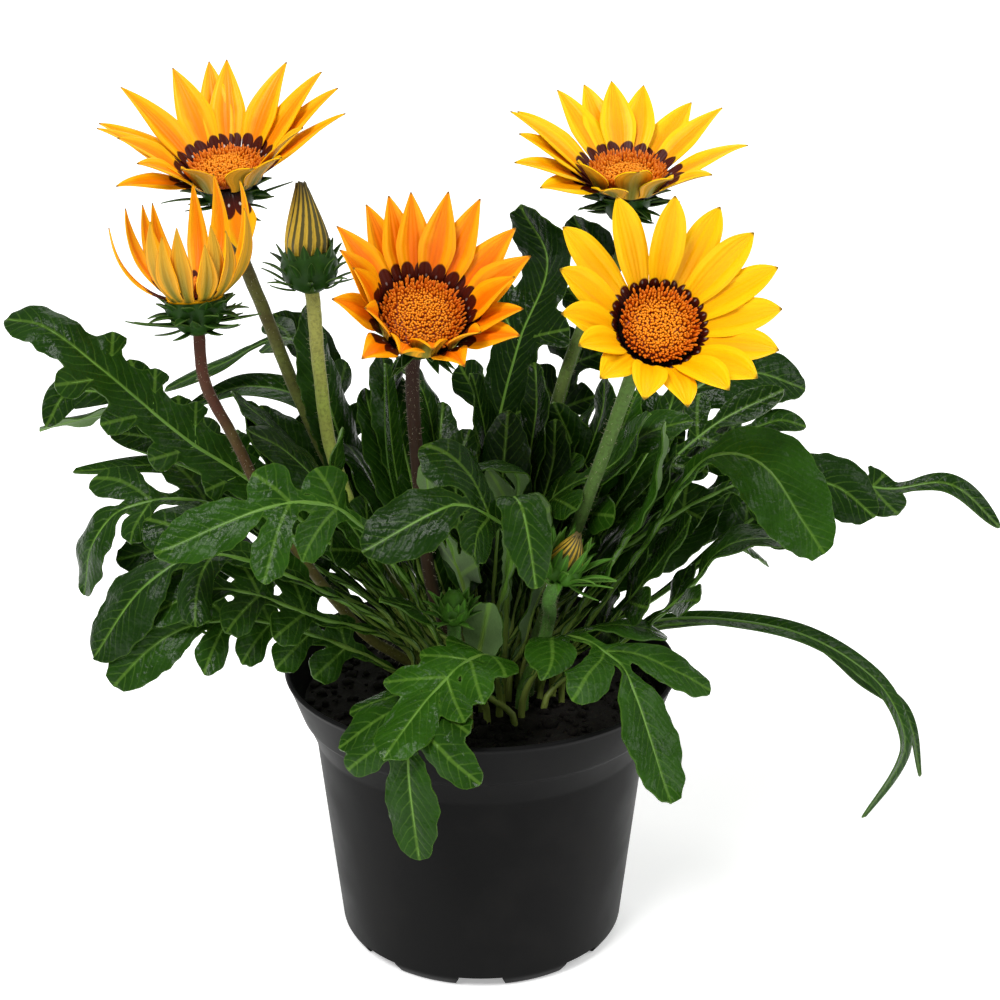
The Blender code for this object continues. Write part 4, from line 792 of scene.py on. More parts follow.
def leaf_upper(name, deep, pale, rib):
    """Waxy leaf cuticle: dark, glossy, quilted between veins that show as paler lines."""
    material, tree, shader = start_material(name, 0.3, 1.45, 0.13)
    along, across, edge = read_marks(tree)
    side = calc(tree, "ABSOLUTE", across)
    place = object_place(tree)
    # mottling of 9 mm and of 1.2 mm, as chlorophyll lies unevenly in the blade
    mottle = cloud(tree, place, 9.0, 4.0)
    fine = cloud(tree, place, 1.2, 3.0)
    # side veins leave the rib at a slant and curve forward, one every 4 mm
    curve = calc(tree, "POWER", side, 1.35)
    slant = calc(tree, "MULTIPLY_ADD", curve, -0.75, along)
    bent = calc(tree, "MULTIPLY_ADD", mottle, 5.0, slant)
    turn = calc(tree, "MULTIPLY", bent, math.tau / 4.0)
    wave = calc(tree, "SINE", turn)
    vein = ramp(tree, wave, 0.8, 1.0, 0.0, 1.0, smooth=True)
    thin_out = ramp(tree, side, 1.0, 7.0, 0.16, 0.03)
    near_rib = ramp(tree, side, 0.2, 0.8, 1.0, 0.0, smooth=True)
    near_edge = ramp(tree, edge, 0.0, 0.4, 1.0, 0.0, smooth=True)
    base = mix(tree, mottle, deep, pale)
    tint = calc(tree, "MULTIPLY", fine, 0.4)
    base = mix(tree, tint, base, deep)
    vein_share = calc(tree, "MULTIPLY", vein, thin_out)
    veined = mix(tree, vein_share, base, rib)
    rib_share = calc(tree, "MULTIPLY", near_rib, 0.3)
    ribbed = mix(tree, rib_share, veined, rib)
    edge_share = calc(tree, "MULTIPLY", near_edge, 0.16)
    edged = mix(tree, edge_share, ribbed, rib)
    feed(tree, edged, shader, "Base Color")
    gloss = ramp(tree, mottle, 0.3, 0.7, 0.18, 0.36)
    feed(tree, gloss, shader, "Roughness")
    # the blade puckers between its veins, in swellings of 4 mm
    pucker = cloud(tree, place, 4.0)
    swell = calc(tree, "MULTIPLY_ADD", wave, -0.1, fine)
    swell = calc(tree, "MULTIPLY_ADD", pucker, 3.0, swell)
    roughen(tree, swell, shader, 0.5, 0.5)
    return material


def leaf_under(settings):
    """Felted underside: a mat of short white hairs over grey green, with raised veins."""
    material, tree, shader = start_material("leaf underside, white felt over green", 0.85, 1.4)
    across = read_marks(tree)[1]
    side = calc(tree, "ABSOLUTE", across)
    place = object_place(tree)
    # felt hairs are drawn 0.5 mm apart, coarser than the real ones, so that they show
    felt = cloud(tree, place, 0.5, 4.0)
    near_rib = ramp(tree, side, 0.3, 1.2, 0.7, 0.0, smooth=True)
    white = mix(tree, felt, (*settings.under, 1), paint("#65824a"))
    ribbed = mix(tree, near_rib, white, (*settings.rib, 1))
    feed(tree, ribbed, shader, "Base Color")
    shader.inputs["Sheen Weight"].default_value = 0.1
    roughen(tree, felt, shader, 0.6, 0.2)
    return material


def leaf_rib(settings):
    """Stalk and ribs: smooth, juicy light green with fine lengthwise strands."""
    material, tree, shader = start_material("leaf rib, smooth light green", 0.38, 1.42)
    along = read_marks(tree)[0]
    place = object_place(tree)
    strand = cloud(tree, place, 0.8)
    patch = cloud(tree, place, 14.0)
    low = ramp(tree, along, 12.0, 60.0, 0.0, 1.0)
    green = mix(tree, patch, (*settings.rib, 1), paint("#3a641a"))
    aged = mix(tree, low, paint("#8a9a48"), green)
    feed(tree, aged, shader, "Base Color")
    roughen(tree, strand, shader, 0.3, 0.2)
    return material


def petal_upper(bloom, settings):
    """Silky petal face: a deeper stripe down the middle, and a maroon spot with white flecks."""
    edge_code, middle_code = PETAL_COLOURS[bloom.name]
    material, tree, shader = start_material("petal face, silky, " + bloom.name, 0.42, 1.4, 0.25)
    along, across, ahead = read_marks(tree)
    side = calc(tree, "ABSOLUTE", across)
    place = object_place(tree)
    strand = petal_strands(tree, across)
    blotch = cloud(tree, place, 6.0, 3.0)
    wander = calc(tree, "MULTIPLY_ADD", blotch, 0.5, side)
    middle = ramp(tree, wander, 0.42, 1.0, 1.0, 0.0, smooth=True)
    fade = ramp(tree, along, 12.0, 30.0, 1.0, 0.6)
    middle = calc(tree, "MULTIPLY", middle, fade)
    base = mix(tree, middle, paint(edge_code), paint(middle_code))
    line = ramp(tree, strand, 0.6, 1.0, 0.0, 0.22)
    base = mix(tree, line, base, paint(middle_code))
    # the spot's outer edge bulges on both sides of the midline, as two joined scallops
    scallop = calc(tree, "MULTIPLY", side, math.pi)
    scallop = calc(tree, "SINE", scallop)
    scallop = calc(tree, "POWER", scallop, 0.5)
    length_of_spot = settings.spot_length / MM * PETAL_SHAPES[bloom.name][2]
    reach = calc(tree, "MULTIPLY_ADD", scallop, 0.34 * length_of_spot, 0.62 * length_of_spot)
    ragged = calc(tree, "MULTIPLY_ADD", blotch, 1.6, reach)
    past = calc(tree, "SUBTRACT", ragged, along)
    spot = ramp(tree, past, 0.5, 1.1, 0.0, 1.0, smooth=True)
    heart = ramp(tree, along, 1.0, 4.5, 0.0, 1.0)
    maroon = mix(tree, heart, paint("#0c0403"), (*settings.spot, 1))
    spotted = mix(tree, spot, base, maroon)
    # a white fleck in each scallop, near the disc
    fleck_side = calc(tree, "SUBTRACT", side, 0.42)
    fleck_side = calc(tree, "MULTIPLY", fleck_side, 6.0)
    fleck_along = calc(tree, "SUBTRACT", along, 4.2)
    fleck = add_node(tree, "CombineXYZ", (fleck_side, fleck_along))
    fleck = add_node(tree, "VectorMath", (fleck,), operation="LENGTH").outputs["Value"]
    white = 0.9 if bloom.name == "bloom_left" else 0.2
    fleck = ramp(tree, fleck, 0.35, 0.6, white, 0.0)
    flecked = mix(tree, fleck, spotted, paint("#e8e0d8"))
    dark_tip = ramp(tree, ahead, 0.2, 0.9, 0.8, 0.0)
    tipped = mix(tree, dark_tip, flecked, paint("#3a2a10"))
    feed(tree, tipped, shader, "Base Color")
    shader.inputs["Subsurface Weight"].default_value = 0.12
    shader.inputs["Subsurface Radius"].default_value = (0.001, 0.0004, 0.0001)
    roughen(tree, strand, shader, 0.35, 0.15)
    return material


def petal_back(settings):
    """Back of a petal: matt gold, with an olive stripe down the middle that fades outwards."""
    material, tree, shader = start_material("petal back, matt gold", 0.6, 1.4)
    along, across = read_marks(tree)[:2]
    side = calc(tree, "ABSOLUTE", across)
    strand = petal_strands(tree, across)
    rim = ramp(tree, side, 0.45, 0.9, 0.0, 1.0, smooth=True)
    base = mix(tree, rim, (*settings.back, 1), paint("#f0a818"))
    stripe = ramp(tree, side, 0.15, 0.6, 0.9, 0.0, smooth=True)
    fade = ramp(tree, along, 4.0, 17.0, 1.0, 0.2)
    stripe = calc(tree, "MULTIPLY", stripe, fade)
    striped = mix(tree, stripe, base, (*settings.stripe, 1))
    line = ramp(tree, strand, 0.5, 1.0, 0.0, 0.2)
    lined = mix(tree, line, striped, (*settings.stripe, 1))
    margin = ramp(tree, side, 0.9, 1.0, 0.0, 0.7)
    edged = mix(tree, margin, lined, paint("#6a4a10"))
    feed(tree, edged, shader, "Base Color")
    roughen(tree, strand, shader, 0.3, 0.15)
    return material


def floret_tissue(settings):
    """Disc florets: waxy orange tubes with yellow tips, and painted shade down between them at their feet."""
    material, tree, shader = start_material("disc floret, waxy orange", 0.45, 1.42)
    rise, out, chance = read_marks(tree)
    # painted shade: each floret darkens towards its foot, where it stands in the shade of its neighbours
    foot = ramp(tree, rise, 0.0, 0.7, 0.0, 1.0, smooth=True)
    base = mix(tree, foot, paint("#a0440a"), (*settings.floret, 1))
    tip = ramp(tree, rise, 0.6, 1.0, 0.0, 1.0, smooth=True)
    inner = ramp(tree, out, 0.55, 0.95, 1.0, 0.35)
    tip = calc(tree, "MULTIPLY", tip, inner)
    tipped = mix(tree, tip, base, (*settings.tip, 1))
    rim = ramp(tree, out, 0.7, 0.95, 0.0, 0.45)
    red = calc(tree, "MULTIPLY", chance, rim)
    varied = mix(tree, red, tipped, paint("#d2460a"))
    feed(tree, varied, shader, "Base Color")
    return material


def stem_skin(name):
    """Stem: soft ribbed skin, often browner or redder under the bloom, matt with fine down."""
    foot_code, top_code = STEM_COLOURS[name]
    material, tree, shader = start_material("stem skin, downy, " + name, 0.6, 1.42, 0.25)
    along = read_marks(tree)[0]
    place = object_place(tree)
    speck = cloud(tree, place, 1.0, 4.0)
    patch = cloud(tree, place, 10.0, 3.0)
    shift = calc(tree, "MULTIPLY_ADD", patch, 0.5, along)
    up = ramp(tree, shift, 0.5, 1.15, 0.0, 1.0, smooth=True)
    base = mix(tree, up, paint(foot_code), paint(top_code))
    dark = ramp(tree, speck, 0.45, 0.75, 0.0, 0.5)
    specked = mix(tree, dark, base, paint("#2c2412"))
    feed(tree, specked, shader, "Base Color")
    shader.inputs["Sheen Weight"].default_value = 0.08
    roughen(tree, speck, shader, 0.5, 0.3)
    return material


def hair_fibre():
    """Down on the stems: pale smooth hairs that catch the light."""
    material, tree, shader = start_material("plant hair, whitish", 0.5, 1.5)
    place = object_place(tree)
    tone = cloud(tree, place, 3.0)
    pale = mix(tree, tone, paint("#a39a78"), paint("#cbc4a8"))
    feed(tree, pale, shader, "Base Color")
    return material


def cup_skin(name, green):
    """Cup and bracts: firm mottled green, paler along each bract's keel and edge."""
    material, tree, shader = start_material(name, 0.45, 1.42, 0.2)
    across = read_marks(tree)[1]
    side = calc(tree, "ABSOLUTE", across)
    place = object_place(tree)
    mottle = cloud(tree, place, 2.5, 4.0)
    base = mix(tree, mottle, tuple(share * 0.5 for share in green) + (1.0,), (*green, 1))
    keel = ramp(tree, side, 0.0, 0.25, 0.5, 0.0, smooth=True)
    keeled = mix(tree, keel, base, tuple(min(1.0, share * 2.2) for share in green) + (1.0,))
    edge = ramp(tree, side, 0.8, 1.0, 0.0, 0.35)
    edged = mix(tree, edge, keeled, paint("#66823c"))
    feed(tree, edged, shader, "Base Color")
    roughen(tree, mottle, shader, 0.4, 0.25)
    return material


def furled_petals():
    """Furled petals of a bud: their backs side by side, yellow between dark olive stripes."""
    material, tree, shader = start_material("furled petals, striped", 0.5, 1.4)
    rise, turn = read_marks(tree)[:2]
    place = object_place(tree)
    streak = cloud(tree, place, 1.5, 3.0)
    phase = calc(tree, "FRACT", turn)
    phase = calc(tree, "SUBTRACT", phase, 0.5)
    phase = calc(tree, "ABSOLUTE", phase)
    shaken = calc(tree, "MULTIPLY_ADD", streak, 0.22, phase)
    stripe = ramp(tree, shaken, 0.28, 0.46, 1.0, 0.0, smooth=True)
    low = mix(tree, streak, paint("#d9b536"), paint("#b3922a"))
    striped = mix(tree, stripe, low, paint("#4a4418"))
    tip = ramp(tree, rise, 0.72, 1.0, 0.0, 0.8)
    tipped = mix(tree, tip, striped, paint("#33301c"))
    feed(tree, tipped, shader, "Base Color")
    roughen(tree, shaken, shader, 0.5, 0.3)
    return material


def pot_plastic(settings):
    """Injection moulded polypropylene: black, satin, with a faint grain and a few dusty scuffs."""
    material, tree, shader = start_material("polypropylene, moulded satin black", 0.42, 1.49, 0.04)
    place = object_place(tree)
    grain = cloud(tree, place, 0.6)
    dust = cloud(tree, place, 22.0, 6.0)
    faint = ramp(tree, dust, 0.5, 0.8, 0.0, 0.12)
    dusty = mix(tree, faint, (*settings.plastic, 1), paint("#3a3836"))
    feed(tree, dusty, shader, "Base Color")
    rough = ramp(tree, dust, 0.35, 0.7, 0.36, 0.5)
    feed(tree, rough, shader, "Roughness")
    roughen(tree, grain, shader, 0.12, 0.1)
    return material


def potting_soil(settings):
    """Peat and bark fines: matt, dark brown, with lighter fibres here and there."""
    material, tree, shader = start_material("potting soil, peat and bark", 0.95, 1.4)
    place = object_place(tree)
    crumb = cloud(tree, place, 1.6, 8.0, 0.7)
    patch = cloud(tree, place, 7.0, 3.0)
    base = mix(tree, patch, paint("#0c0805"), (*settings.soil, 1))
    light = ramp(tree, crumb, 0.58, 0.75, 0.0, 0.8)
    lit = mix(tree, light, base, paint("#3e2d20"))
    feed(tree, lit, shader, "Base Color")
    roughen(tree, crumb, shader, 1.0, 0.8)
    return material


# Leaves

class Rib:
    """A leaf's midrib as a smooth curve with a frame that turns as little as it can."""

    def __init__(self, leaf, spot, move):
        foot = SOIL_TOP + 1.0 if leaf.joins else PIT_BOTTOM + PIT_CLEAR
        points = [(spot.x, spot.y, foot), (spot.x, spot.y, foot + STRAIGHT_FOOT), *leaf.rib]
        path = smooth_path(points, UP, RIB_STEPS)
        lengths = [0.0]
        for first, second in zip(path, path[1:]):
            lengths.append(lengths[-1] + (second - first).length)
        free = lengths[-1] - STRAIGHT_FOOT
        self.places = []
        for point, reach in zip(path, lengths):
            share = min(1.0, max(0.0, reach - STRAIGHT_FOOT) / (0.5 * free))
            self.places.append(point + Vector(move) * share * share * (3 - 2 * share))
        self.lengths = [0.0]
        for first, second in zip(self.places, self.places[1:]):
            self.lengths.append(self.lengths[-1] + (second - first).length)
        self.whole = self.lengths[-1]
        tip = self.places[-1] - self.places[0]
        self.upper_hand = 1 if tip.x > 0 else -1
        self.set_frames(leaf, Vector((tip.x, tip.y, 0)).normalized())

    def set_frames(self, leaf, heading):
        """Carry the side direction along the curve, then turn it to face the front."""
        side = UP.cross(heading)
        turn_sign = 1.0 if heading.x < 0 else -1.0
        start = self.whole * 0.25
        stop = max(start + 1.0, self.whole - leaf.blade)
        frames = []
        for index in range(len(self.places)):
            before = self.places[max(0, index - 1)]
            after = self.places[min(len(self.places) - 1, index + 1)]
            way = (after - before).normalized()
            side = (side - way * side.dot(way)).normalized()
            normal = way.cross(side)
            share = min(1.0, max(0.0, (self.lengths[index] - start) / (stop - start)))
            turn = math.radians(leaf.face) * turn_sign * share * share * (3 - 2 * share)
            frames.append([*way, *(side * math.cos(turn) - normal * math.sin(turn)),
                           *(normal * math.cos(turn) + side * math.sin(turn))])
        self.frames = np.array(frames)
        self.track = np.array([list(place) for place in self.places])

    def at(self, along):
        """Places, directions, sides and normals at distances along the rib."""
        along = np.asarray(along, float)
        table = np.hstack((self.track, self.frames))
        read = np.stack([np.interp(along, self.lengths, column) for column in table.T], axis=-1)
        over = np.maximum(0.0, along - self.whole)[..., None]
        return read[..., 0:3] + read[..., 3:6] * over, read[..., 3:6], read[..., 6:9], read[..., 9:12]

    def surface(self, along, across, rise=0.0):
        """Points of the blade at distances along and across the rib, lifted by rise."""
        place, _, side, normal = self.at(along)
        across = np.asarray(across, float)
        lift = np.abs(across) * math.sin(BLADE_FOLD) - BLADE_ARCH * across * across + rise
        return place + side * (across * math.cos(BLADE_FOLD))[..., None] + normal * lift[..., None]


def leaf_move(leaf, corners):
    """The small move that the solid leaf was given, read from where its tip stands in the frame."""
    # the moves that the solids could be given, in steps of 2.5 mm along the view, 4 up and 5 sideways
    steps = np.array([SIGHT * deep * 2.5 + SIGHT_UP * high * 4 + SIDEWAYS * wide * 5
                      for deep in range(-10, 11) for high in range(-3, 4) for wide in range(-2, 3)])
    tips = np.array(leaf.rib[-1]) + steps
    # the blade's tip is the middle between the two nearest corners, half its thickness from each
    reach = np.sort(np.linalg.norm(corners[None] - tips[:, None], axis=2), axis=1)[:, :2]
    misses = np.abs(reach - LEAF_THICK / 2).sum(axis=1)
    best = int(np.argmin(misses))
    if misses[best] > TIP_MISS:
        raise RuntimeError(leaf.name + " has no tip where the frame holds one")
    return tuple(steps[best])


def end_half_width(leaf, share):
    """Half width of the end lobe at shares of its length: blunt, widest past its middle."""
    full = leaf.end_wide / 2
    ease = np.clip(share / 0.5, 0, 1)
    grow = leaf.web + (full - leaf.web) * ease * (2 - ease)
    drop = np.clip((share - 0.5) / 0.52, 0, 1)
    return np.where(share < 0.5, grow, full * (1 - drop * drop) ** 0.6)


def lobe_places(leaf, rib):
    """Each side lobe: where it leaves the rib, on which hand, and how long it is."""
    if not leaf.pairs:
        return []
    blade_start = rib.whole - leaf.blade
    pitch = (leaf.blade - leaf.end) / leaf.pairs
    found = []
    for index in range(leaf.pairs):
        share = index / max(1, leaf.pairs - 1)
        reach = leaf.first + (leaf.last - leaf.first) * share
        for hand in (1, -1):
            own = reach * leaf.upper if hand == rib.upper_hand else reach
            own *= 1 + LOBE_UNEVEN * math.sin(7.3 * index + 2.1 * hand + leaf.blade)
            found.append((blade_start + pitch * (index + 0.5), hand, own))
    return found


def lobe_coordinates(leaf, middle, hand, along, across):
    """Distances along and across a side lobe's own rib."""
    out = hand * across - leaf.web
    ahead = along - middle
    return (ahead * math.cos(LOBE_SWEEP) + out * math.sin(LOBE_SWEEP),
            out * math.cos(LOBE_SWEEP) - ahead * math.sin(LOBE_SWEEP))


def wing_start(leaf, rib):
    """Where the narrow wings of the stalk begin."""
    return min(WING_FOOT, rib.whole - leaf.blade - 8)


def blade_fields(leaf, rib, along, across):
    """Signed distance, roughly, from the strip with the end lobe and from each side lobe."""
    blade_start = rib.whole - leaf.blade
    end_start = rib.whole - leaf.end
    side = np.abs(across)
    foot = wing_start(leaf, rib)
    taper = np.clip((along - foot) / (blade_start - foot), 0, 1) ** 2
    strip = side - (1.1 + (leaf.web * 1.1 - 1.1) * taper)
    strip = np.maximum(strip, np.maximum(foot - along, along - end_start - 2))
    share = (along - end_start) / leaf.end
    end = side - end_half_width(leaf, share) * 1.03
    end = np.where(share < 0, side - leaf.web - share * leaf.end, end)
    end = np.where(share > 1.0, np.hypot(side, (share - 1.0) * leaf.end), end)
    fields = [np.minimum(strip, end)]
    owners = [(along, across)]
    for middle, hand, reach in lobe_places(leaf, rib):
        out, off = lobe_coordinates(leaf, middle, hand, along, across)
        part = out / reach
        grow = 0.58 + 0.46 * np.clip(part / 0.6, 0, 1) ** 1.3
        drop = np.clip((part - 0.6) / 0.46, 0, 1)
        half = leaf.wide / 2 * np.where(part < 0.6, grow, 1.04 * (1 - drop * drop) ** 0.55)
        field = np.abs(off) - half
        field = np.where(part > 1.06, np.hypot(off, (part - 1.06) * reach), field)
        field = np.where(out < -leaf.web * 1.3, np.hypot(field, out), field)
        fields.append(field)
        owners.append((out, off))
    return fields, owners


def trim_grid(first, second, field):
    """Triangles of the part of a grid where the field is negative, cut at its zero line."""
    points = []
    edge = []
    number = {}
    triangles = []

    def corner(key):
        if key not in number:
            number[key] = len(points)
            points.append((first[key[0]], second[key[1]]))
            edge.append(-field[key])
        return number[key]

    def crossing(inside, outside):
        key = (inside, outside)
        if key not in number:
            share = field[inside] / (field[inside] - field[outside])
            share = min(0.97, max(0.03, share))
            start = np.array((first[inside[0]], second[inside[1]]))
            stop = np.array((first[outside[0]], second[outside[1]]))
            number[key] = len(points)
            points.append(tuple(start + (stop - start) * share))
            edge.append(0.0)
        return number[key]

    near = field < 0
    busy = near[:-1, :-1] | near[1:, :-1] | near[1:, 1:] | near[:-1, 1:]
    for row, column in np.argwhere(busy).tolist():
        ring = ((row, column), (row + 1, column), (row + 1, column + 1), (row, column + 1))
        outline = []
        for here, there in zip(ring, ring[1:] + ring[:1]):
            if near[here]:
                outline.append(corner(here))
            if near[here] and not near[there]:
                outline.append(crossing(here, there))
            if near[there] and not near[here]:
                outline.append(crossing(there, here))
        for index in range(1, len(outline) - 1):
            triangles.append((outline[0], outline[index], outline[index + 1]))
    return np.array(points), np.array(edge), np.array(triangles)


def add_leaf(shape, leaf, spot, move, draw, settings):
    """Add one leaf: blade, stalk with midrib, and the ribs of its side lobes."""
    rib = Rib(leaf, spot, move)
    widest = max(leaf.end_wide / 2, leaf.web + max(leaf.first, leaf.last) + leaf.wide / 2) + 3 * GRID
    columns = math.ceil(widest / GRID)
    across = np.arange(-columns, columns + 1) * GRID
    along = np.arange(wing_start(leaf, rib) - 2, rib.whole + 2 * GRID, GRID)
    far, wide = np.meshgrid(along, across, indexing="ij")
    stack = np.array(blade_fields(leaf, rib, far, wide)[0])
    joined = -LOBE_BLEND * np.log(np.exp(-np.clip(stack, -40, 40) / LOBE_BLEND).sum(axis=0))
    slope = np.hypot(*np.gradient(joined, GRID))
    joined = joined / np.maximum(slope, 1.0)
    # narrow plain leaves have an even margin
    phase = draw.uniform(0, math.tau)
    if leaf.end_wide > MILD_WIDTH:
        joined = joined + 0.25 * np.sin(far * 1.1 + wide * 0.5 + phase) + 0.2 * np.sin(far * 0.5 - wide * 0.9)
    layout, edge, triangles = trim_grid(along, across, joined)
    owners = blade_fields(leaf, rib, layout[:, 0], layout[:, 1])[1]
    nearest = np.min(np.abs(np.array([own[1] for own in owners])), axis=0)
    quilt = QUILT * (1 - np.exp(-nearest / 2.2))
    bow = draw.uniform(-0.045, 0.0)
    drop = np.maximum(-3.0, bow * nearest**2)
    wave = MARGIN_WAVE if leaf.end_wide > MILD_WIDTH else 0.0
    ripple = wave * np.sin(layout[:, 0] * 0.45 + phase + np.sign(layout[:, 1])) * np.exp(-edge / 2.5)
    points = rib.surface(layout[:, 0], layout[:, 1], quilt + ripple + drop)
    middles = layout[triangles].mean(axis=1)
    owner = np.argmin(np.array(blade_fields(leaf, rib, middles[:, 0], middles[:, 1])[0]), axis=0)
    lengths = np.array([own[0] for own in owners])
    offsets = np.array([own[1] for own in owners])
    marks = np.stack((lengths[owner[:, None], triangles], offsets[owner[:, None], triangles],
                      edge[triangles]), axis=-1).tolist()
    plain = np.stack((layout[:, 0], layout[:, 1], edge), axis=-1).tolist()
    add_sheet(shape, points, triangles.tolist(), plain, settings.sheet / MM, 0, 1, marks)
    add_ribs(shape, leaf, rib)


def add_ribs(shape, leaf, rib):
    """Stalk and midrib as one tapering tube, and a thinner one in each side lobe."""
    blade_start = rib.whole - leaf.blade
    count = max(24, int(rib.whole / 4))
    along = np.linspace(0.0, rib.whole - 1.0, count)
    share = np.clip((along - blade_start) / leaf.blade, 0, 1)
    place, _, side, normal = rib.at(along)
    # half width and half height: stoutest at the foot, thinning over 30 mm and again to the tip
    low = np.clip(along / 30.0, 0, 1)
    wide = (1.25 - 0.5 * low) * (1 - share) ** 0.8 + 0.18
    tall = (1.0 - 0.35 * low) * (1 - share) ** 0.8 + 0.18
    marks = [(float(reach), 0.0, 0.0) for reach in along]
    add_tube(shape, place, wide, tall, side, normal, 2, marks)
    for middle, hand, reach in lobe_places(leaf, rib):
        out = np.linspace(-leaf.web / math.sin(LOBE_SWEEP), reach * 0.92, 9)
        far = middle + out * math.cos(LOBE_SWEEP)
        off = hand * (leaf.web + out * math.sin(LOBE_SWEEP))
        points = rib.surface(far, off, 0.1)
        ahead = unit(np.gradient(points, axis=0))
        normals = rib.at(far)[3]
        sideways = unit(np.cross(ahead, normals))
        thin = np.linspace(0.28, 0.08, len(out))
        spread = [(float(far[index]), 0.0, 0.0) for index in range(len(out))]
        add_tube(shape, points, thin, thin * 0.8, sideways, normals, 2, spread, 6)


def young_leaves():
    """Plain young leaves that crowd the heart of the tuft, each grown with the piece it joins."""
    draw = random.Random(YOUNG_SEED)
    found = []
    # all ranges are millimetres: how deep a leaf stands, how far back it leans and how high it ends
    for index in range(YOUNG_COUNT):
        out = YOUNG_SPREAD * (2 * (index + 0.5) / YOUNG_COUNT - 1)
        deep = draw.uniform(-6, 16)
        back = deep + draw.uniform(10, 24)
        top = draw.uniform(162, 200) - 0.25 * abs(out)
        rib = ((out * 0.4, deep, 108), (out * 0.7, deep + 1, 0.5 * (108 + top)),
               (out * 0.95, 0.5 * (deep + back), top - 12), (out * 1.1 + draw.uniform(-6, 6), back, top))
        host = YOUNG_HOSTS[int(len(YOUNG_HOSTS) * index / YOUNG_COUNT)]
        found.append(Leaf(f"young_{index}", rib, draw.uniform(-25, 25), 64, 2.0, 0, 0, 0, 0, 56,
                          draw.uniform(13, 20), host))
    return found + SIDE_YOUNG


class BuildLeaves(bpy.types.Operator):
    """Grow the leaves, each blade in place of its solid"""
    bl_idname = "gazania.build_leaves"
    bl_label = "Leaves"

    def execute(self, context):
        settings = context.scene.gazania_leaves
        under = leaf_under(settings)
        rib = leaf_rib(settings)
        lit_and_toned_greens = []
        # copies of the upper green from dark to bright: painted shade and painted light as well as the
        # leaves' own tone
        for step in range(LEAF_LIT_AND_TONED_GREENS):
            share = step / (LEAF_LIT_AND_TONED_GREENS - 1)
            deep = tuple(np.array(settings.upper) * (0.65 + 0.5 * share))
            pale = tuple(np.array(settings.upper) * (1 - share) + np.array(settings.bright) * share)
            lit_and_toned_greens.append(leaf_upper(f"leaf upper side, waxy green {step}", (*deep, 1), (*pale, 1),
                                     (*settings.rib, 1)))
        draw = random.Random(LEAF_SEED)
        young = young_leaves()
        for leaf in LEAVES:
            if leaf.joins:
                continue
            shape = Shape()
            spot = foot_of(leaf.name)
            corners = node_corners(leaf.name)
            for grown in [leaf] + [other for other in LEAVES if other.joins == leaf.name]:
                add_leaf(shape, grown, spot, leaf_move(grown, corners), draw, settings)
            for grown in [other for other in young if other.joins == leaf.name]:
                start = Vector((grown.rib[0][0] * 0.6, grown.rib[0][1], 0))
                add_leaf(shape, grown, start, (0, 0, 0), draw, settings)
            # a leaf's tone picks its copy of the green, so its colour carries painted light and shade
            tone = LEAF_TONES_AND_PAINTED_LIGHT.get(leaf.name, draw.uniform(0.15, 0.6))
            shape.piece(leaf.name + "_blade", [lit_and_toned_greens[round(tone * (LEAF_LIT_AND_TONED_GREENS - 1))], under, rib],
                        [leaf.name], LEAF_CREASE)
        return {"FINISHED"}


# Blooms

def edge_lifts(petals, petal):
    """Which way a petal's two edges bend: up where it passes over its neighbour, down where under."""
    ring = sorted(petals)
    place = ring.index(petal)
    before = ring[place - 1]
    after = ring[(place + 1) % len(ring)]
    over_before = PETAL_LIFT if petal[1] > before[1] else -PETAL_LIFT
    over_after = PETAL_LIFT if petal[1] >= after[1] else -PETAL_LIFT
    return over_before, over_after


def petal_arch(bloom, axes, way):
    """How far a petal bows for its length: more at the front, and outwards in the half-open bloom."""
    if bloom is CUP_BLOOM:
        return FURLED_ARCH
    return PETAL_ARCH + bloom.front_arch * max(0.0, -way.dot(axes[1])) ** 2


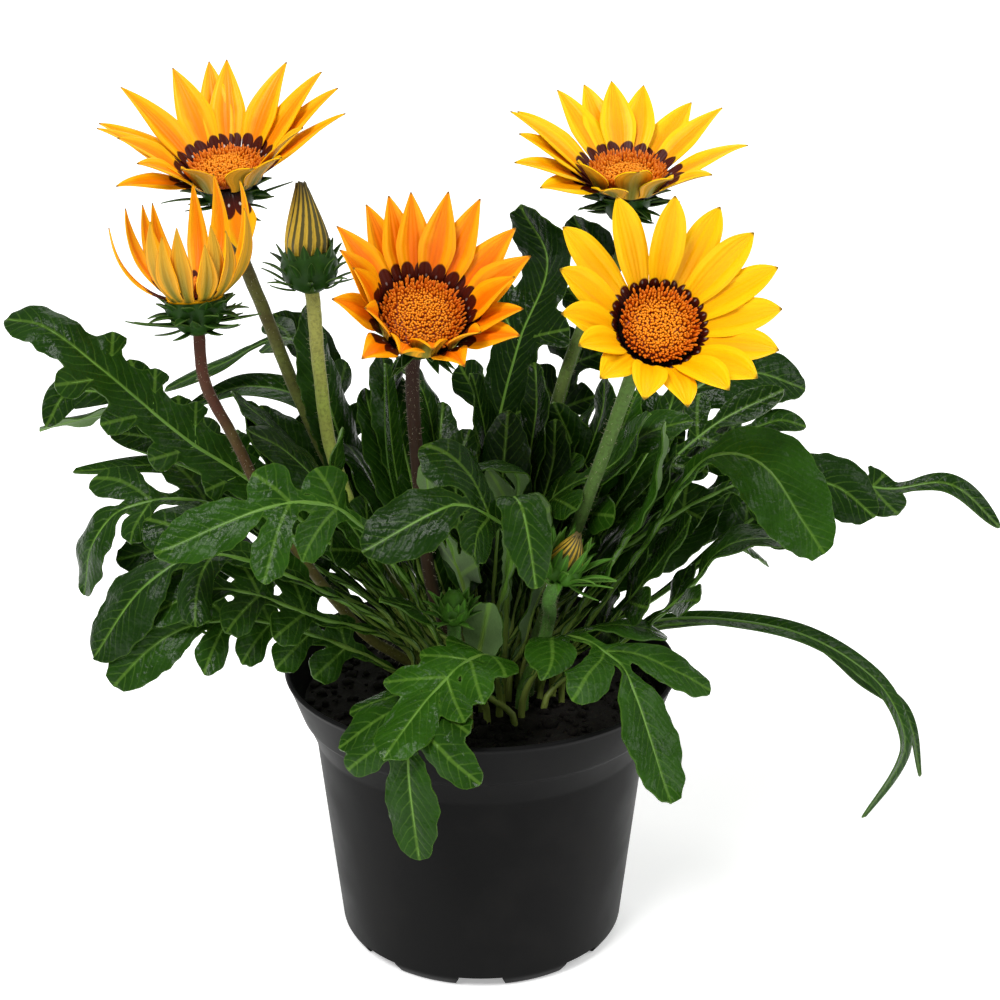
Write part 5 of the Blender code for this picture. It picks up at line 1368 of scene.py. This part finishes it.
def add_petal(shape, bloom, axes, petal, number, draw):
    """Add one petal: keeled, grooved lengthwise, pointed, its edges over or under its neighbours."""
    east, north, normal = axes
    angle = math.radians(petal[0])
    rise = math.radians(petal[1])
    reach = petal[2] if len(petal) > 2 else bloom.length
    level = east * math.cos(angle) + north * math.sin(angle)
    tip = np.array((level * math.cos(rise) + normal * math.sin(rise)) * reach)
    side = np.array(normal.cross(level))
    crown = np.array(normal * math.cos(rise) - level * math.sin(rise))
    # petals that lie over one another stand a little apart at their foot
    layer = np.array(normal) * PETAL_LAYER * ((number * 7) % 5 - 2)
    edge = bloom.disc + PETAL_START
    start = np.array(level) * edge + np.array(normal) * edge * BOWL_SLOPE
    hidden = np.array(level) * bloom.disc * 0.8 + np.array(normal) * (bloom.disc * 0.8 * BOWL_SLOPE + 0.5)
    arch = petal_arch(bloom, axes, level) + draw.uniform(-0.02, 0.03)
    control = (start + tip) / 2 + np.cross(tip - start, side * -1.0) * -arch
    roundness, slim = PETAL_SHAPES[bloom.name][:2]
    over_before, over_after = edge_lifts(bloom.petals, petal)
    twist = draw.uniform(-0.3, 0.3)
    rows = 20
    columns = 11
    points = []
    marks = []
    whole = float(np.linalg.norm(tip - start))
    for row in range(rows):
        share = max(0.0, (row - 1) / (rows - 2)) ** 0.85
        middle = start * (1 - share) ** 2 + control * 2 * share * (1 - share) + tip * share**2
        if row == 0:
            middle = hidden
        middle = middle + layer * (1 - share)
        # half width in shares of the whole: narrow at the claw, full at PETAL_WIDEST, blunt at the tip
        if share < PETAL_WIDEST:
            ease = share / PETAL_WIDEST
            half = 0.31 + 0.21 * ease * ease * (3 - 2 * ease)
        else:
            half = 0.52 * (1 - ((share - PETAL_WIDEST) / (1 - PETAL_WIDEST)) ** roundness) + 0.012
        half *= bloom.width * slim
        for column in range(columns):
            off = 2 * column / (columns - 1) - 1
            bend = over_before if off < 0 else over_after
            lift = bend * abs(off) * math.sin(math.pi * min(1, share * 1.1))
            keel = (0.2 + 0.35 * share**3) * half * abs(off) ** 1.4
            groove = 0.34 * math.cos(3 * math.pi * off) * math.sin(math.pi * share)
            roll = twist * off * half * share
            points.append(middle + side * off * half + crown * (lift * 0.75 + keel + groove + roll))
            along = PETAL_START + share * whole if row else -0.2 * bloom.disc
            marks.append((along, off, (1 - share) * whole))
    add_sheet(shape, points, grid_triangles(rows, columns), marks, PETAL_SHEET, 0, 1)


def add_petals(shape, bloom, draw):
    """Add every petal and the bowl that carries them."""
    axes = lean_axes(bloom.tilt, bloom.towards)
    first = len(shape.points)
    for number, petal in enumerate(bloom.petals):
        add_petal(shape, bloom, axes, petal, number, draw)
    for index in range(first, len(shape.points)):
        shape.points[index] = shape.points[index] + np.array(bloom.centre)
    edge = bloom.disc + 0.7
    half = BOWL_THICK / 2
    tone = (16.0, 0.9, 9.0) if bloom is CUP_BLOOM else (0.4, 0.0, 9.0)
    profile = [(0, -half), (edge, edge * BOWL_SLOPE - half), (edge + 0.3, edge * BOWL_SLOPE),
               (edge, edge * BOWL_SLOPE + half), (0, half)]
    add_lathe(shape, profile, 40, axes_matrix(axes, bloom.centre), 0, tone)


def add_disc(shape, bloom, draw, florets=DISC_FLORETS, slot=0):
    """Add the domed disc: florets on a spiral, short and budded inside, long and open outside."""
    radius = bloom.disc
    base = radius * BOWL_SLOPE + BOWL_THICK / 2 + DISC_SEAT
    placing = axes_matrix(lean_axes(bloom.tilt, bloom.towards), bloom.centre)
    profile = [(0, DISC_SEAT + BOWL_THICK / 2), (radius - 0.4, base), (radius - 0.6, base + SKIRT_HEIGHT)]
    for step in range(1, 8):
        reach = (radius - 0.6) * (1 - step / 8)
        profile.append((reach, base + SKIRT_HEIGHT + DOME_RISE * (1 - (reach / radius) ** 2)))
    profile.append((0, base + SKIRT_HEIGHT + DOME_RISE))
    add_lathe(shape, profile, 36, placing, slot, (0.1, 0.5, 0.0))
    ring_height = 4.0 if bloom.name == "bloom_right_back" else 2.6
    for index in range(florets):
        out = math.sqrt((index + 0.5) / florets)
        reach = min(radius - 0.7, (radius - 0.7) * out + draw.uniform(-0.35, 0.35))
        angle = index * GOLDEN_ANGLE + draw.uniform(-0.3, 0.3) / max(reach, 1.0)
        outward = Vector((math.cos(angle), math.sin(angle), 0))
        lean = 0.02 + 0.5 * out**3 + draw.uniform(-0.15, 0.15)
        way = (outward * math.sin(lean) + UP * math.cos(lean)).normalized()
        long = 1.3 + draw.uniform(0, 0.8) + (ring_height * max(0.0, out - 0.7) / 0.3) * draw.uniform(0.7, 1.1)
        foot = outward * reach + UP * (base + DOME_RISE * (1 - (reach / radius) ** 2))
        add_floret(shape, placing, foot, way, long, out, draw, slot)


def add_floret(shape, placing, foot, way, long, out, draw, slot):
    """Add one tube floret that widens to its tip and closes in a point."""
    around = 6
    across = way.orthogonal().normalized()
    up = way.cross(across)
    chance = draw.random()
    points = []
    marks = []
    rings = ((0.0, 0.28), (0.5, 0.25), (0.84, 0.37), (0.97, 0.2))
    spin = draw.uniform(0, math.tau)
    for rise, half in rings:
        for step in range(around):
            angle = spin + step * math.tau / around
            point = foot + way * long * rise + (across * math.cos(angle) + up * math.sin(angle)) * half
            points.append(tuple(placing @ point))
            marks.append((rise, out, chance))
    points.append(tuple(placing @ (foot + way * long * 1.02)))
    marks.append((1.0, out, chance))
    faces = ring_faces(len(rings), around)
    last = len(points) - 1
    for step in range(around):
        faces.append((last - around + step, last - around + (step + 1) % around, last))
    shape.add(points, faces, marks, slot)


def stem_path(node, middle, top):
    """Places along a stem, with a side and an upward direction at each."""
    spot = foot_of(node)
    foot = PIT_BOTTOM + PIT_CLEAR
    points = [(spot.x, spot.y, foot), (spot.x, spot.y, SOIL_TOP + 2), *middle, *top]
    places = np.array([list(point) for point in smooth_path(points, UP, 9)])
    ways = unit(np.gradient(places, axis=0))
    side = np.array((1.0, 0.0, 0.0))
    sides = []
    for way in ways:
        side = side - way * np.dot(side, way)
        side = side / np.linalg.norm(side)
        sides.append(side)
    sides = np.array(sides)
    return places, ways, sides, np.cross(ways, sides)


def add_stem(shape, radius_there, node, middle, top, draw, hairs):
    """Add a faintly ribbed stem with its down: short hairs that stand off its skin."""
    places, ways, sides, ups = stem_path(node, middle, top)
    count = len(places)
    around = 16
    share = np.linspace(0, 1, count)
    width = radius_there * (1.04 - 0.1 * np.sin(math.pi * share))
    points = []
    marks = []
    for index in range(count):
        for step in range(around):
            angle = step * math.tau / around
            radius = width[index] * (1 + 0.05 * (step % 2) + 0.03 * math.sin(index * 1.7 + step))
            out = sides[index] * math.cos(angle) + ups[index] * math.sin(angle)
            points.append(places[index] + out * radius)
            marks.append((float(share[index]), step / around, 1.0))
    shape.add(points, closed_rings(count, around), marks, 0)
    for _ in range(hairs):
        index = draw.randrange(6, count - 2)
        angle = draw.uniform(0, math.tau)
        out = sides[index] * math.cos(angle) + ups[index] * math.sin(angle)
        root = places[index] + (places[index + 1] - places[index]) * draw.random() + out * width[index] * 0.95
        add_hair(shape, root, unit(out + ways[index] * draw.uniform(-0.3, 0.6)), ways[index],
                 draw.uniform(0.7, 1.7), 1)


def add_hair(shape, root, way, cross, long, slot):
    """Add one hair: a slim three-sided spike."""
    side = unit(np.cross(way, cross))
    other = np.cross(way, side)
    ring = [root + (side * math.cos(angle) + other * math.sin(angle)) * 0.05 for angle in (0, 2.1, 4.2)]
    shape.add([*ring, root + way * long], [(0, 1, 3), (1, 2, 3), (2, 0, 3), (2, 1, 0)], [(0, 0, 0)] * 4, slot)


def add_bract(shape, place, outward, normal, lean, long, wide, curl, slot):
    """Add one bract: a narrow pointed blade, keeled, that bends outwards or up by its curl."""
    side = normal.cross(outward).normalized()
    rows = 8
    columns = 5
    points = []
    marks = []
    here = Vector(place)
    for row in range(rows):
        share = row / (rows - 1)
        angle = math.radians(lean + curl * share)
        way = outward * math.cos(angle) + normal * math.sin(angle)
        top = normal * math.cos(angle) - outward * math.sin(angle)
        half = wide / 2 * (1 - share**2.4) * (0.75 + 0.9 * share * (1 - share)) + 0.04
        for column in range(columns):
            off = 2 * column / (columns - 1) - 1
            points.append(tuple(here + side * off * half + top * abs(off) * half * 0.35))
            marks.append((share, off, 0.5))
        here = here + way * (long / (rows - 1))
    add_sheet(shape, points, grid_triangles(rows, columns), marks, PETAL_SHEET, slot, slot)


def add_cup(shape, origin, axes, profile, rings, draw, slot):
    """Add a cup with rings of bracts: (count, radius, height, lean, length, width, curl)."""
    east, north, normal = axes
    add_lathe(shape, profile, 32, axes_matrix(axes, origin), slot, (0.2, 0.5, 0.5))
    for level, (count, radius, height, lean, long, wide, curl) in enumerate(rings):
        for index in range(count):
            angle = (index + 0.5 * level + draw.uniform(-0.15, 0.15)) * math.tau / count
            outward = east * math.cos(angle) + north * math.sin(angle)
            place = Vector(origin) + outward * radius + normal * height
            add_bract(shape, place, outward, normal, lean + draw.uniform(-12, 12),
                      long * draw.uniform(0.8, 1.15), wide, curl + draw.uniform(-15, 15), slot)


# Rings of bracts under every bloom, and the long ones under each, in the order that add_cup reads
BLOOM_BRACTS = [
    (11, 8.3, -1.6, 40, 5.0, 4.4, -10),
    (9, 7.6, -3.6, 16, 7.5, 3.8, -24),
    (7, 6.6, -5.8, 2, 8.8, 3.2, 24),
    (5, 5.0, -8.4, -14, 8.0, 2.4, 30),
]
LONG_BRACTS = {
    "bloom_left": (8, 6.6, -6.0, 22, 14.0, 1.3, -12),
    "bloom_half_open": (8, 6.2, -6.4, 8, 14.5, 3.2, 16),
    "bloom_centre": (7, 6.6, -5.0, 14, 12.0, 2.4, -6),
    "bloom_right_back": (7, 6.6, -5.0, 14, 12.0, 2.4, -6),
    "bloom_right_front": (7, 6.6, -5.0, 14, 11.0, 2.0, -6),
}


def build_bloom(bloom, settings, back, floret, cup, hair, draw):
    """Petals, disc, cup and stem of one bloom."""
    axes = lean_axes(bloom.tilt, bloom.towards)
    normal = axes[2]
    centre = Vector(bloom.centre)
    petals = Shape()
    add_petals(petals, bloom, draw)
    if bloom is CUP_BLOOM:
        add_disc(petals, bloom, draw, CUP_FLORETS, 2)
    petals.piece(bloom.name + "_ray_florets", [petal_upper(bloom, settings), back, floret],
                 [bloom.name + "_petals"])
    if bloom is not CUP_BLOOM:
        disc = Shape()
        add_disc(disc, bloom, draw)
        disc.piece(bloom.name + "_disc_florets", [floret],
                   [bloom.name + "_disc"])
    stem = Shape()
    top = [tuple(centre - normal * 24), tuple(centre - normal * 8)]
    add_stem(stem, bloom.stem_radius, bloom.name + "_stem", bloom.stem, top, draw, BLOOM_HAIRS)
    depth = FURLED_CUP_DEPTH if bloom is CUP_BLOOM else CUP_DEPTH
    profile = [
        (0, -depth),
        (2.9, -depth),
        (5.2, -0.86 * depth),
        (CUP_RADIUS - 2.0, -0.66 * depth),
        (CUP_RADIUS - 0.5, -0.38 * depth),
        (CUP_RADIUS + 0.4, -1.4),
        (CUP_RADIUS, CUP_RADIUS * BOWL_SLOPE - BOWL_THICK / 2),
        (0, -BOWL_THICK / 2),
    ]
    add_cup(stem, centre, axes, profile, [*BLOOM_BRACTS, LONG_BRACTS[bloom.name]], draw, 2)
    stem.piece(bloom.name + "_stalk", [stem_skin(bloom.name), hair, cup],
               [bloom.name + "_stem"])


def add_cone(shape, bud):
    """Add a bud's furled petals: overlapping pleats that twist to a point."""
    pleats = 15
    around = pleats * 6
    levels = 18
    base = bud.cup_height - 1.0
    placing = axes_matrix(lean_axes(bud.tilt, bud.towards), bud.foot)
    points = []
    marks = []
    for level in range(levels):
        share = level / (levels - 1)
        # the cone swells a little above its cup, then narrows to a quarter of its width
        if share < 0.2:
            width = 0.92 + 0.08 * share / 0.2
        else:
            width = 1.0 - 0.76 * ((share - 0.2) / 0.8) ** 1.2
        for step in range(around):
            turn = step / around * pleats
            phase = turn % 1.0
            overlap = 0.12 * phase - 0.1 * (phase > 0.86)
            angle = step * math.tau / around + share * 0.6
            radius = bud.cone_radius * width * (0.93 + overlap)
            height = base + (bud.cone_height + 1.2) * share
            if level == levels - 1:
                height += 0.8 * math.sin(turn * 2.2)
            point = Vector((radius * math.cos(angle), radius * math.sin(angle), height))
            points.append(tuple(placing @ point))
            marks.append((share, turn, 0.0))
    shape.add(points, closed_rings(levels, around), marks)


def build_bud(bud, furled, cup, hair, draw):
    """Cone, cup and stem of one bud."""
    axes = lean_axes(bud.tilt, bud.towards)
    normal = axes[2]
    foot = Vector(bud.foot)
    if bud.cone_radius:
        cone = Shape()
        add_cone(cone, bud)
        cone.piece(bud.name + "_furled_petals", [furled],
                   [bud.name + "_petals"], CONE_CREASE)
    stem = Shape()
    top = [tuple(foot - normal * 7), tuple(foot + normal * 3)]
    add_stem(stem, STEM_RADIUS, bud.name + "_stem", bud.stem, top, draw, BUD_HAIRS)
    high = bud.cup_height
    wide = bud.cup_radius
    profile = [(0, 0), (2.8, 0.2), (wide * 0.8, high * 0.2), (wide * 0.97, high * 0.45), (wide, high * 0.75),
               (wide * 0.86, high), (0, high)]
    if not bud.cone_radius:
        profile[-2:] = [(wide * 0.9, high), (wide * 0.42, high + bud.cone_height * 0.8),
                        (0, high + bud.cone_height)]
    rings = [
        (bud.bracts + 4, wide * 0.84, high * 0.78, 74, bud.bract_length * 0.75, 3.4, 18),
        (bud.bracts + 3, wide * 0.95, high * 0.5, 58, bud.bract_length, 2.6, -34),
        (bud.bracts, wide * 0.9, high * 0.3, 30, bud.bract_length * 1.15, 2.0, -20),
        (bud.bracts - 2, wide * 0.66, high * 0.12, 6, bud.bract_length, 1.8, 24),
    ]
    add_cup(stem, foot, axes, profile, rings, draw, 2)
    stem.piece(bud.name + "_stalk", [stem_skin(bud.name), hair, cup],
               [bud.name + "_stem"])


class BuildBlooms(bpy.types.Operator):
    """Grow the open blooms and the half-open one, with their stems"""
    bl_idname = "gazania.build_blooms"
    bl_label = "Blooms"

    def execute(self, context):
        settings = context.scene.gazania_blooms
        back = petal_back(settings)
        floret = floret_tissue(settings)
        cup = cup_skin("bract, firm dark green", settings.cup)
        hair = hair_fibre()
        draw = random.Random(BLOOM_SEED)
        for bloom in BLOOMS + [CUP_BLOOM]:
            build_bloom(bloom, settings, back, floret, cup, hair, draw)
        return {"FINISHED"}


class BuildBuds(bpy.types.Operator):
    """Grow the closed buds with their stems"""
    bl_idname = "gazania.build_buds"
    bl_label = "Buds"

    def execute(self, context):
        settings = context.scene.gazania_blooms
        furled = furled_petals()
        dark = cup_skin("bract of a ripe bud, dark green", settings.cup)
        fresh = cup_skin("bract of a young bud, bright green", settings.fresh)
        hair = hair_fibre()
        draw = random.Random(BUD_SEED)
        for bud in BUDS:
            cup = dark if bud.name == "bud_tall" else fresh
            build_bud(bud, furled, cup, hair, draw)
        return {"FINISHED"}


# Pot and soil

def inner_radius(height):
    """Radius of the pot's inside at a height, from the wall's three slopes."""
    outside = np.interp(height, (0, SHOULDER_FOOT, COLLAR_FOOT, POT_HEIGHT),
                        (BASE_RADIUS, BODY_TOP_RADIUS, COLLAR_FOOT_RADIUS, RIM_RADIUS - 1.0))
    return float(outside) - WALL


def rounded(profile, radius):
    """Profile with each inner corner cut to a small arc of three points."""
    found = [profile[0]]
    for before, corner, after in zip(profile, profile[1:], profile[2:]):
        here = Vector(corner)
        back = Vector(before) - here
        ahead = Vector(after) - here
        cut = min(radius, back.length * 0.4, ahead.length * 0.4)
        start = here + back.normalized() * cut
        stop = here + ahead.normalized() * cut
        middle = (start + stop) / 4 + here / 2
        found.extend([tuple(start), tuple(middle), tuple(stop)])
    found.append(profile[-1])
    return found


def cut_out(item, cutters):
    """Take cutters away from a piece, then remove them."""
    collection = bpy.data.collections.new("cutters")
    bpy.context.scene.collection.children.link(collection)
    for cutter in cutters:
        collection.objects.link(cutter)
    cut = item.modifiers.new("drainage", "BOOLEAN")
    cut.operation = "DIFFERENCE"
    cut.operand_type = "COLLECTION"
    cut.collection = collection
    cut.solver = "EXACT"
    bpy.context.view_layer.update()
    graph = bpy.context.evaluated_depsgraph_get()
    mesh = bpy.data.meshes.new_from_object(item.evaluated_get(graph), depsgraph=graph)
    item.modifiers.clear()
    item.data = mesh
    for cutter in cutters:
        bpy.data.objects.remove(cutter, do_unlink=True)
    bpy.data.collections.remove(collection)


def drainage_cutters():
    """Boxes for the notches at the foot, and drills for the holes in the floor."""
    cutters = []
    for index in range(NOTCH_COUNT):
        block = bmesh.new()
        bmesh.ops.create_cube(block, size=1)
        depth = BASE_RADIUS + 4 - NOTCH_INNER_RADIUS
        for point in block.verts:
            width = NOTCH_TOP_WIDTH if point.co.z > 0 else NOTCH_WIDTH
            point.co.x = NOTCH_INNER_RADIUS + depth * (point.co.x + 0.5)
            point.co.y *= width
            point.co.z = NOTCH_HEIGHT if point.co.z > 0 else -1.0
        turn = Matrix.Rotation(index * math.tau / NOTCH_COUNT - math.pi / 2, 4, "Z")
        cutters.append(cutter_object(f"notch {index}", block, turn))
    for index in range(DRAIN_COUNT):
        angle = (index + 0.5) * math.tau / DRAIN_COUNT
        drill = bmesh.new()
        bmesh.ops.create_cone(drill, cap_ends=True, segments=24, radius1=DRAIN_RADIUS,
                              radius2=DRAIN_RADIUS, depth=4 * FLOOR)
        place = Vector((DRAIN_RING * math.cos(angle), DRAIN_RING * math.sin(angle), 0))
        cutters.append(cutter_object(f"drain {index}", drill, Matrix.Translation(place)))
    return cutters


def cutter_object(name, solid, placing):
    """Object of a cutter, placed in its mesh."""
    bmesh.ops.transform(solid, matrix=Matrix.Scale(MM, 4) @ placing, verts=solid.verts)
    mesh = bpy.data.meshes.new(name)
    solid.to_mesh(mesh)
    solid.free()
    return bpy.data.objects.new(name, mesh)


class BuildPot(bpy.types.Operator):
    """Mould the pot with its collar, lip and drainage"""
    bl_idname = "gazania.build_pot"
    bl_label = "Pot"

    def execute(self, context):
        profile = [
            (0, FLOOR),
            (EDGE_FLOOR_RADIUS - 4, FLOOR),
            (EDGE_FLOOR_RADIUS, EDGE_FLOOR),
            (inner_radius(EDGE_FLOOR), EDGE_FLOOR),
            (inner_radius(SHOULDER_FOOT), SHOULDER_FOOT),
            (inner_radius(COLLAR_FOOT), COLLAR_FOOT),
            (inner_radius(POT_HEIGHT) + 0.6, POT_HEIGHT - 0.8),
            (RIM_RADIUS - 0.9, POT_HEIGHT),
            (RIM_RADIUS, POT_HEIGHT - 1.1),
            (RIM_RADIUS - 0.9, POT_HEIGHT - 2.4),
            (COLLAR_FOOT_RADIUS, COLLAR_FOOT + 0.4),
            (COLLAR_FOOT_RADIUS - 1.0, COLLAR_FOOT - 0.6),
            (BODY_TOP_RADIUS, SHOULDER_FOOT),
            (BASE_RADIUS, 3.5),
            (BASE_RADIUS - 2.4, 0),
            (0, 0),
        ]
        shape = Shape()
        add_lathe(shape, rounded(profile, 0.8), POT_SIDES, Matrix.Identity(4), 0)
        pot = shape.piece("nursery_pot", [pot_plastic(context.scene.gazania_pot)], ["pot"])
        cut_out(pot, drainage_cutters())
        pot.data.set_sharp_from_angle(angle=math.radians(POT_CREASE))
        return {"FINISHED"}


def soil_relief(radius, angle, level):
    """Height of the soil's rough surface over its smooth one."""
    if level > SOIL_RINGS or radius > SMOOTH_SOIL_RADIUS:
        return 0.0
    place = Vector((radius * math.cos(angle), radius * math.sin(angle), 3.0))
    return 0.9 * noise.noise(place * 0.16) + 0.8 * noise.noise(place * 0.55)


class BuildSoil(bpy.types.Operator):
    """Fill the pot with crumbly soil"""
    bl_idname = "gazania.build_soil"
    bl_label = "Soil"

    def execute(self, context):
        settings = context.scene.gazania_pot
        wall = inner_radius(SOIL_TOP - SOIL_DROP) - CLEAR
        heights = ((0, SOIL_TOP), (31, SOIL_TOP), (44, SOIL_TOP + 1.2), (54, SOIL_TOP - 0.6),
                   (wall, SOIL_TOP - SOIL_DROP))
        reaches, levels = zip(*heights)
        profile = [(0, SOIL_TOP)]
        for index in range(1, SOIL_RINGS + 1):
            radius = wall * index / SOIL_RINGS
            rise = float(np.interp(radius, reaches, levels))
            profile.append((radius, rise - 0.6))
        profile.extend([
            (inner_radius(COLLAR_FOOT) - CLEAR, COLLAR_FOOT),
            (inner_radius(SHOULDER_FOOT) - CLEAR, SHOULDER_FOOT),
            (inner_radius(EDGE_FLOOR) - CLEAR, EDGE_FLOOR + CLEAR),
            (EDGE_FLOOR_RADIUS - CLEAR, EDGE_FLOOR + CLEAR),
            (EDGE_FLOOR_RADIUS - 4 - CLEAR, FLOOR + CLEAR),
            (0, FLOOR + CLEAR),
        ])
        profile.reverse()
        shape = Shape()
        flipped = len(profile) - 2

        def relief(radius, angle, level):
            return soil_relief(radius, angle, flipped - level)

        add_lathe(shape, profile, SOIL_SIDES, Matrix.Identity(4), 0, None, relief)
        draw = random.Random(SOIL_SEED)
        for index in range(settings.crumbs):
            radius = wall * math.sqrt(draw.random()) * 0.98
            angle = draw.uniform(0, math.tau)
            rise = float(np.interp(radius, reaches, levels))
            size = draw.choice((0.5, 0.7, 0.9, 1.2, 1.9))
            place = Vector((radius * math.cos(angle), radius * math.sin(angle), rise - 0.5 + size * 0.35))
            add_crumb(shape, place, size, draw)
        shape.piece("potting_soil", [potting_soil(settings)], ["soil"], SOIL_CREASE)
        return {"FINISHED"}


def add_crumb(shape, place, size, draw):
    """Add one lump of soil or bark: a small sphere pulled out of shape."""
    lump = bmesh.new()
    bmesh.ops.create_icosphere(lump, subdivisions=1, radius=size)
    stretch = Vector((draw.uniform(0.6, 1.5), draw.uniform(0.6, 1.3), draw.uniform(0.5, 0.9)))
    turn = Matrix.Rotation(draw.uniform(0, math.tau), 3, "Z")
    lump.verts.index_update()
    points = []
    for corner in lump.verts:
        point = Vector([value * pull for value, pull in zip(corner.co, stretch)])
        points.append(tuple(place + turn @ point * draw.uniform(0.8, 1.2)))
    faces = [[corner.index for corner in face.verts] for face in lump.faces]
    lump.free()
    shape.add(points, faces, [(0.5, 0.5, 0.0)] * len(points))


# Stage

class BuildStage(bpy.types.Operator):
    """Set the white floor, the soft light and the camera"""
    bl_idname = "gazania.build_stage"
    bl_label = "Floor, light and camera"

    def execute(self, context):
        settings = context.scene.gazania_stage
        mesh = bpy.data.meshes.new("floor")
        far = FLOOR_REACH
        mesh.from_pydata([(-far, -far, 0), (far, -far, 0), (far, far, 0), (-far, far, 0)], [], [(0, 1, 2, 3)])
        floor = bpy.data.objects.new("floor", mesh)
        # an opal sheet scatters its own soft light, so that shadows on it stay faint
        material, tree, shader = start_material("light table, opal acrylic", 0.9, 1.49)
        shader.inputs["Emission Color"].default_value = (1, 1, 1, 1)
        shader.inputs["Emission Strength"].default_value = settings.glow
        place = object_place(tree)
        tooth = cloud(tree, place, 2.0)
        white = mix(tree, tooth, (*settings.floor, 1), paint("#fdfdfd"))
        feed(tree, white, shader, "Base Color")
        mesh.materials.append(material)
        context.scene.collection.objects.link(floor)
        world = bpy.data.worlds.new("white room")
        world.use_nodes = True
        world.node_tree.nodes["Background"].inputs[0].default_value = (1, 1, 1, 1)
        world.node_tree.nodes["Background"].inputs[1].default_value = settings.room
        context.scene.world = world
        # the photograph's colours are as bright and saturated as the screen's, without a film curve
        context.scene.view_settings.view_transform = "Standard"
        for name, place, spread, share in (("main light", (-0.55, -0.75, 1.2), 24, 1.0),
                                           ("side light", (1.0, -0.25, 0.9), 30, 0.4),
                                           ("back light", (0.1, 1.0, 1.1), 40, 0.35)):
            lamp = bpy.data.lights.new(name, "SUN")
            lamp.angle = math.radians(spread)
            lamp.energy = settings.key * share
            item = bpy.data.objects.new(name, lamp)
            item.location = place
            item.rotation_euler = (-Vector(place)).to_track_quat("-Z", "Y").to_euler()
            context.scene.collection.objects.link(item)
        camera = bpy.data.cameras.new("camera")
        camera.lens = CAMERA_LENS
        camera.sensor_width = CAMERA_SENSOR
        camera.clip_end = VIEW_REACH
        item = bpy.data.objects.new("camera", camera)
        item.location = CAMERA_PLACE
        item.rotation_euler = (math.radians(CAMERA_PITCH), 0, 0)
        context.scene.collection.objects.link(item)
        context.scene.camera = item
        return {"FINISHED"}


class GazaniaPanel(bpy.types.Panel):
    """Lists the steps that build the gazania"""
    bl_idname = "VIEW3D_PT_gazania"
    bl_label = "Potted gazania"
    bl_space_type = "VIEW_3D"
    bl_region_type = "UI"
    bl_category = "Gazania"

    def draw(self, context):
        for operator in OPERATORS:
            self.layout.operator(operator.bl_idname)
        for name in SETTINGS:
            group = getattr(context.scene, name)
            box = self.layout.box()
            for key in group.__annotations__:
                box.prop(group, key)


OPERATORS = (BuildStage, BuildPot, BuildSoil, BuildLeaves, BuildBlooms, BuildBuds)
SETTINGS = {
    "gazania_leaves": LeafSettings,
    "gazania_blooms": BloomSettings,
    "gazania_pot": PotSettings,
    "gazania_stage": StageSettings,
}


def register():
    """Register the settings, operators and panel."""
    for name, group in SETTINGS.items():
        bpy.utils.register_class(group)
        setattr(bpy.types.Scene, name, bpy.props.PointerProperty(type=group))
    for operator in OPERATORS:
        bpy.utils.register_class(operator)
    bpy.utils.register_class(GazaniaPanel)


def unregister():
    """Take everything out again."""
    bpy.utils.unregister_class(GazaniaPanel)
    for operator in reversed(OPERATORS):
        bpy.utils.unregister_class(operator)
    for name, group in SETTINGS.items():
        delattr(bpy.types.Scene, name)
        bpy.utils.unregister_class(group)


def main():
    """Build every piece and the stage."""
    register()
    bpy.ops.gazania.build_stage()
    bpy.ops.gazania.build_pot()
    bpy.ops.gazania.build_soil()
    bpy.ops.gazania.build_leaves()
    bpy.ops.gazania.build_blooms()
    bpy.ops.gazania.build_buds()


if __name__ == "__main__":
    main()
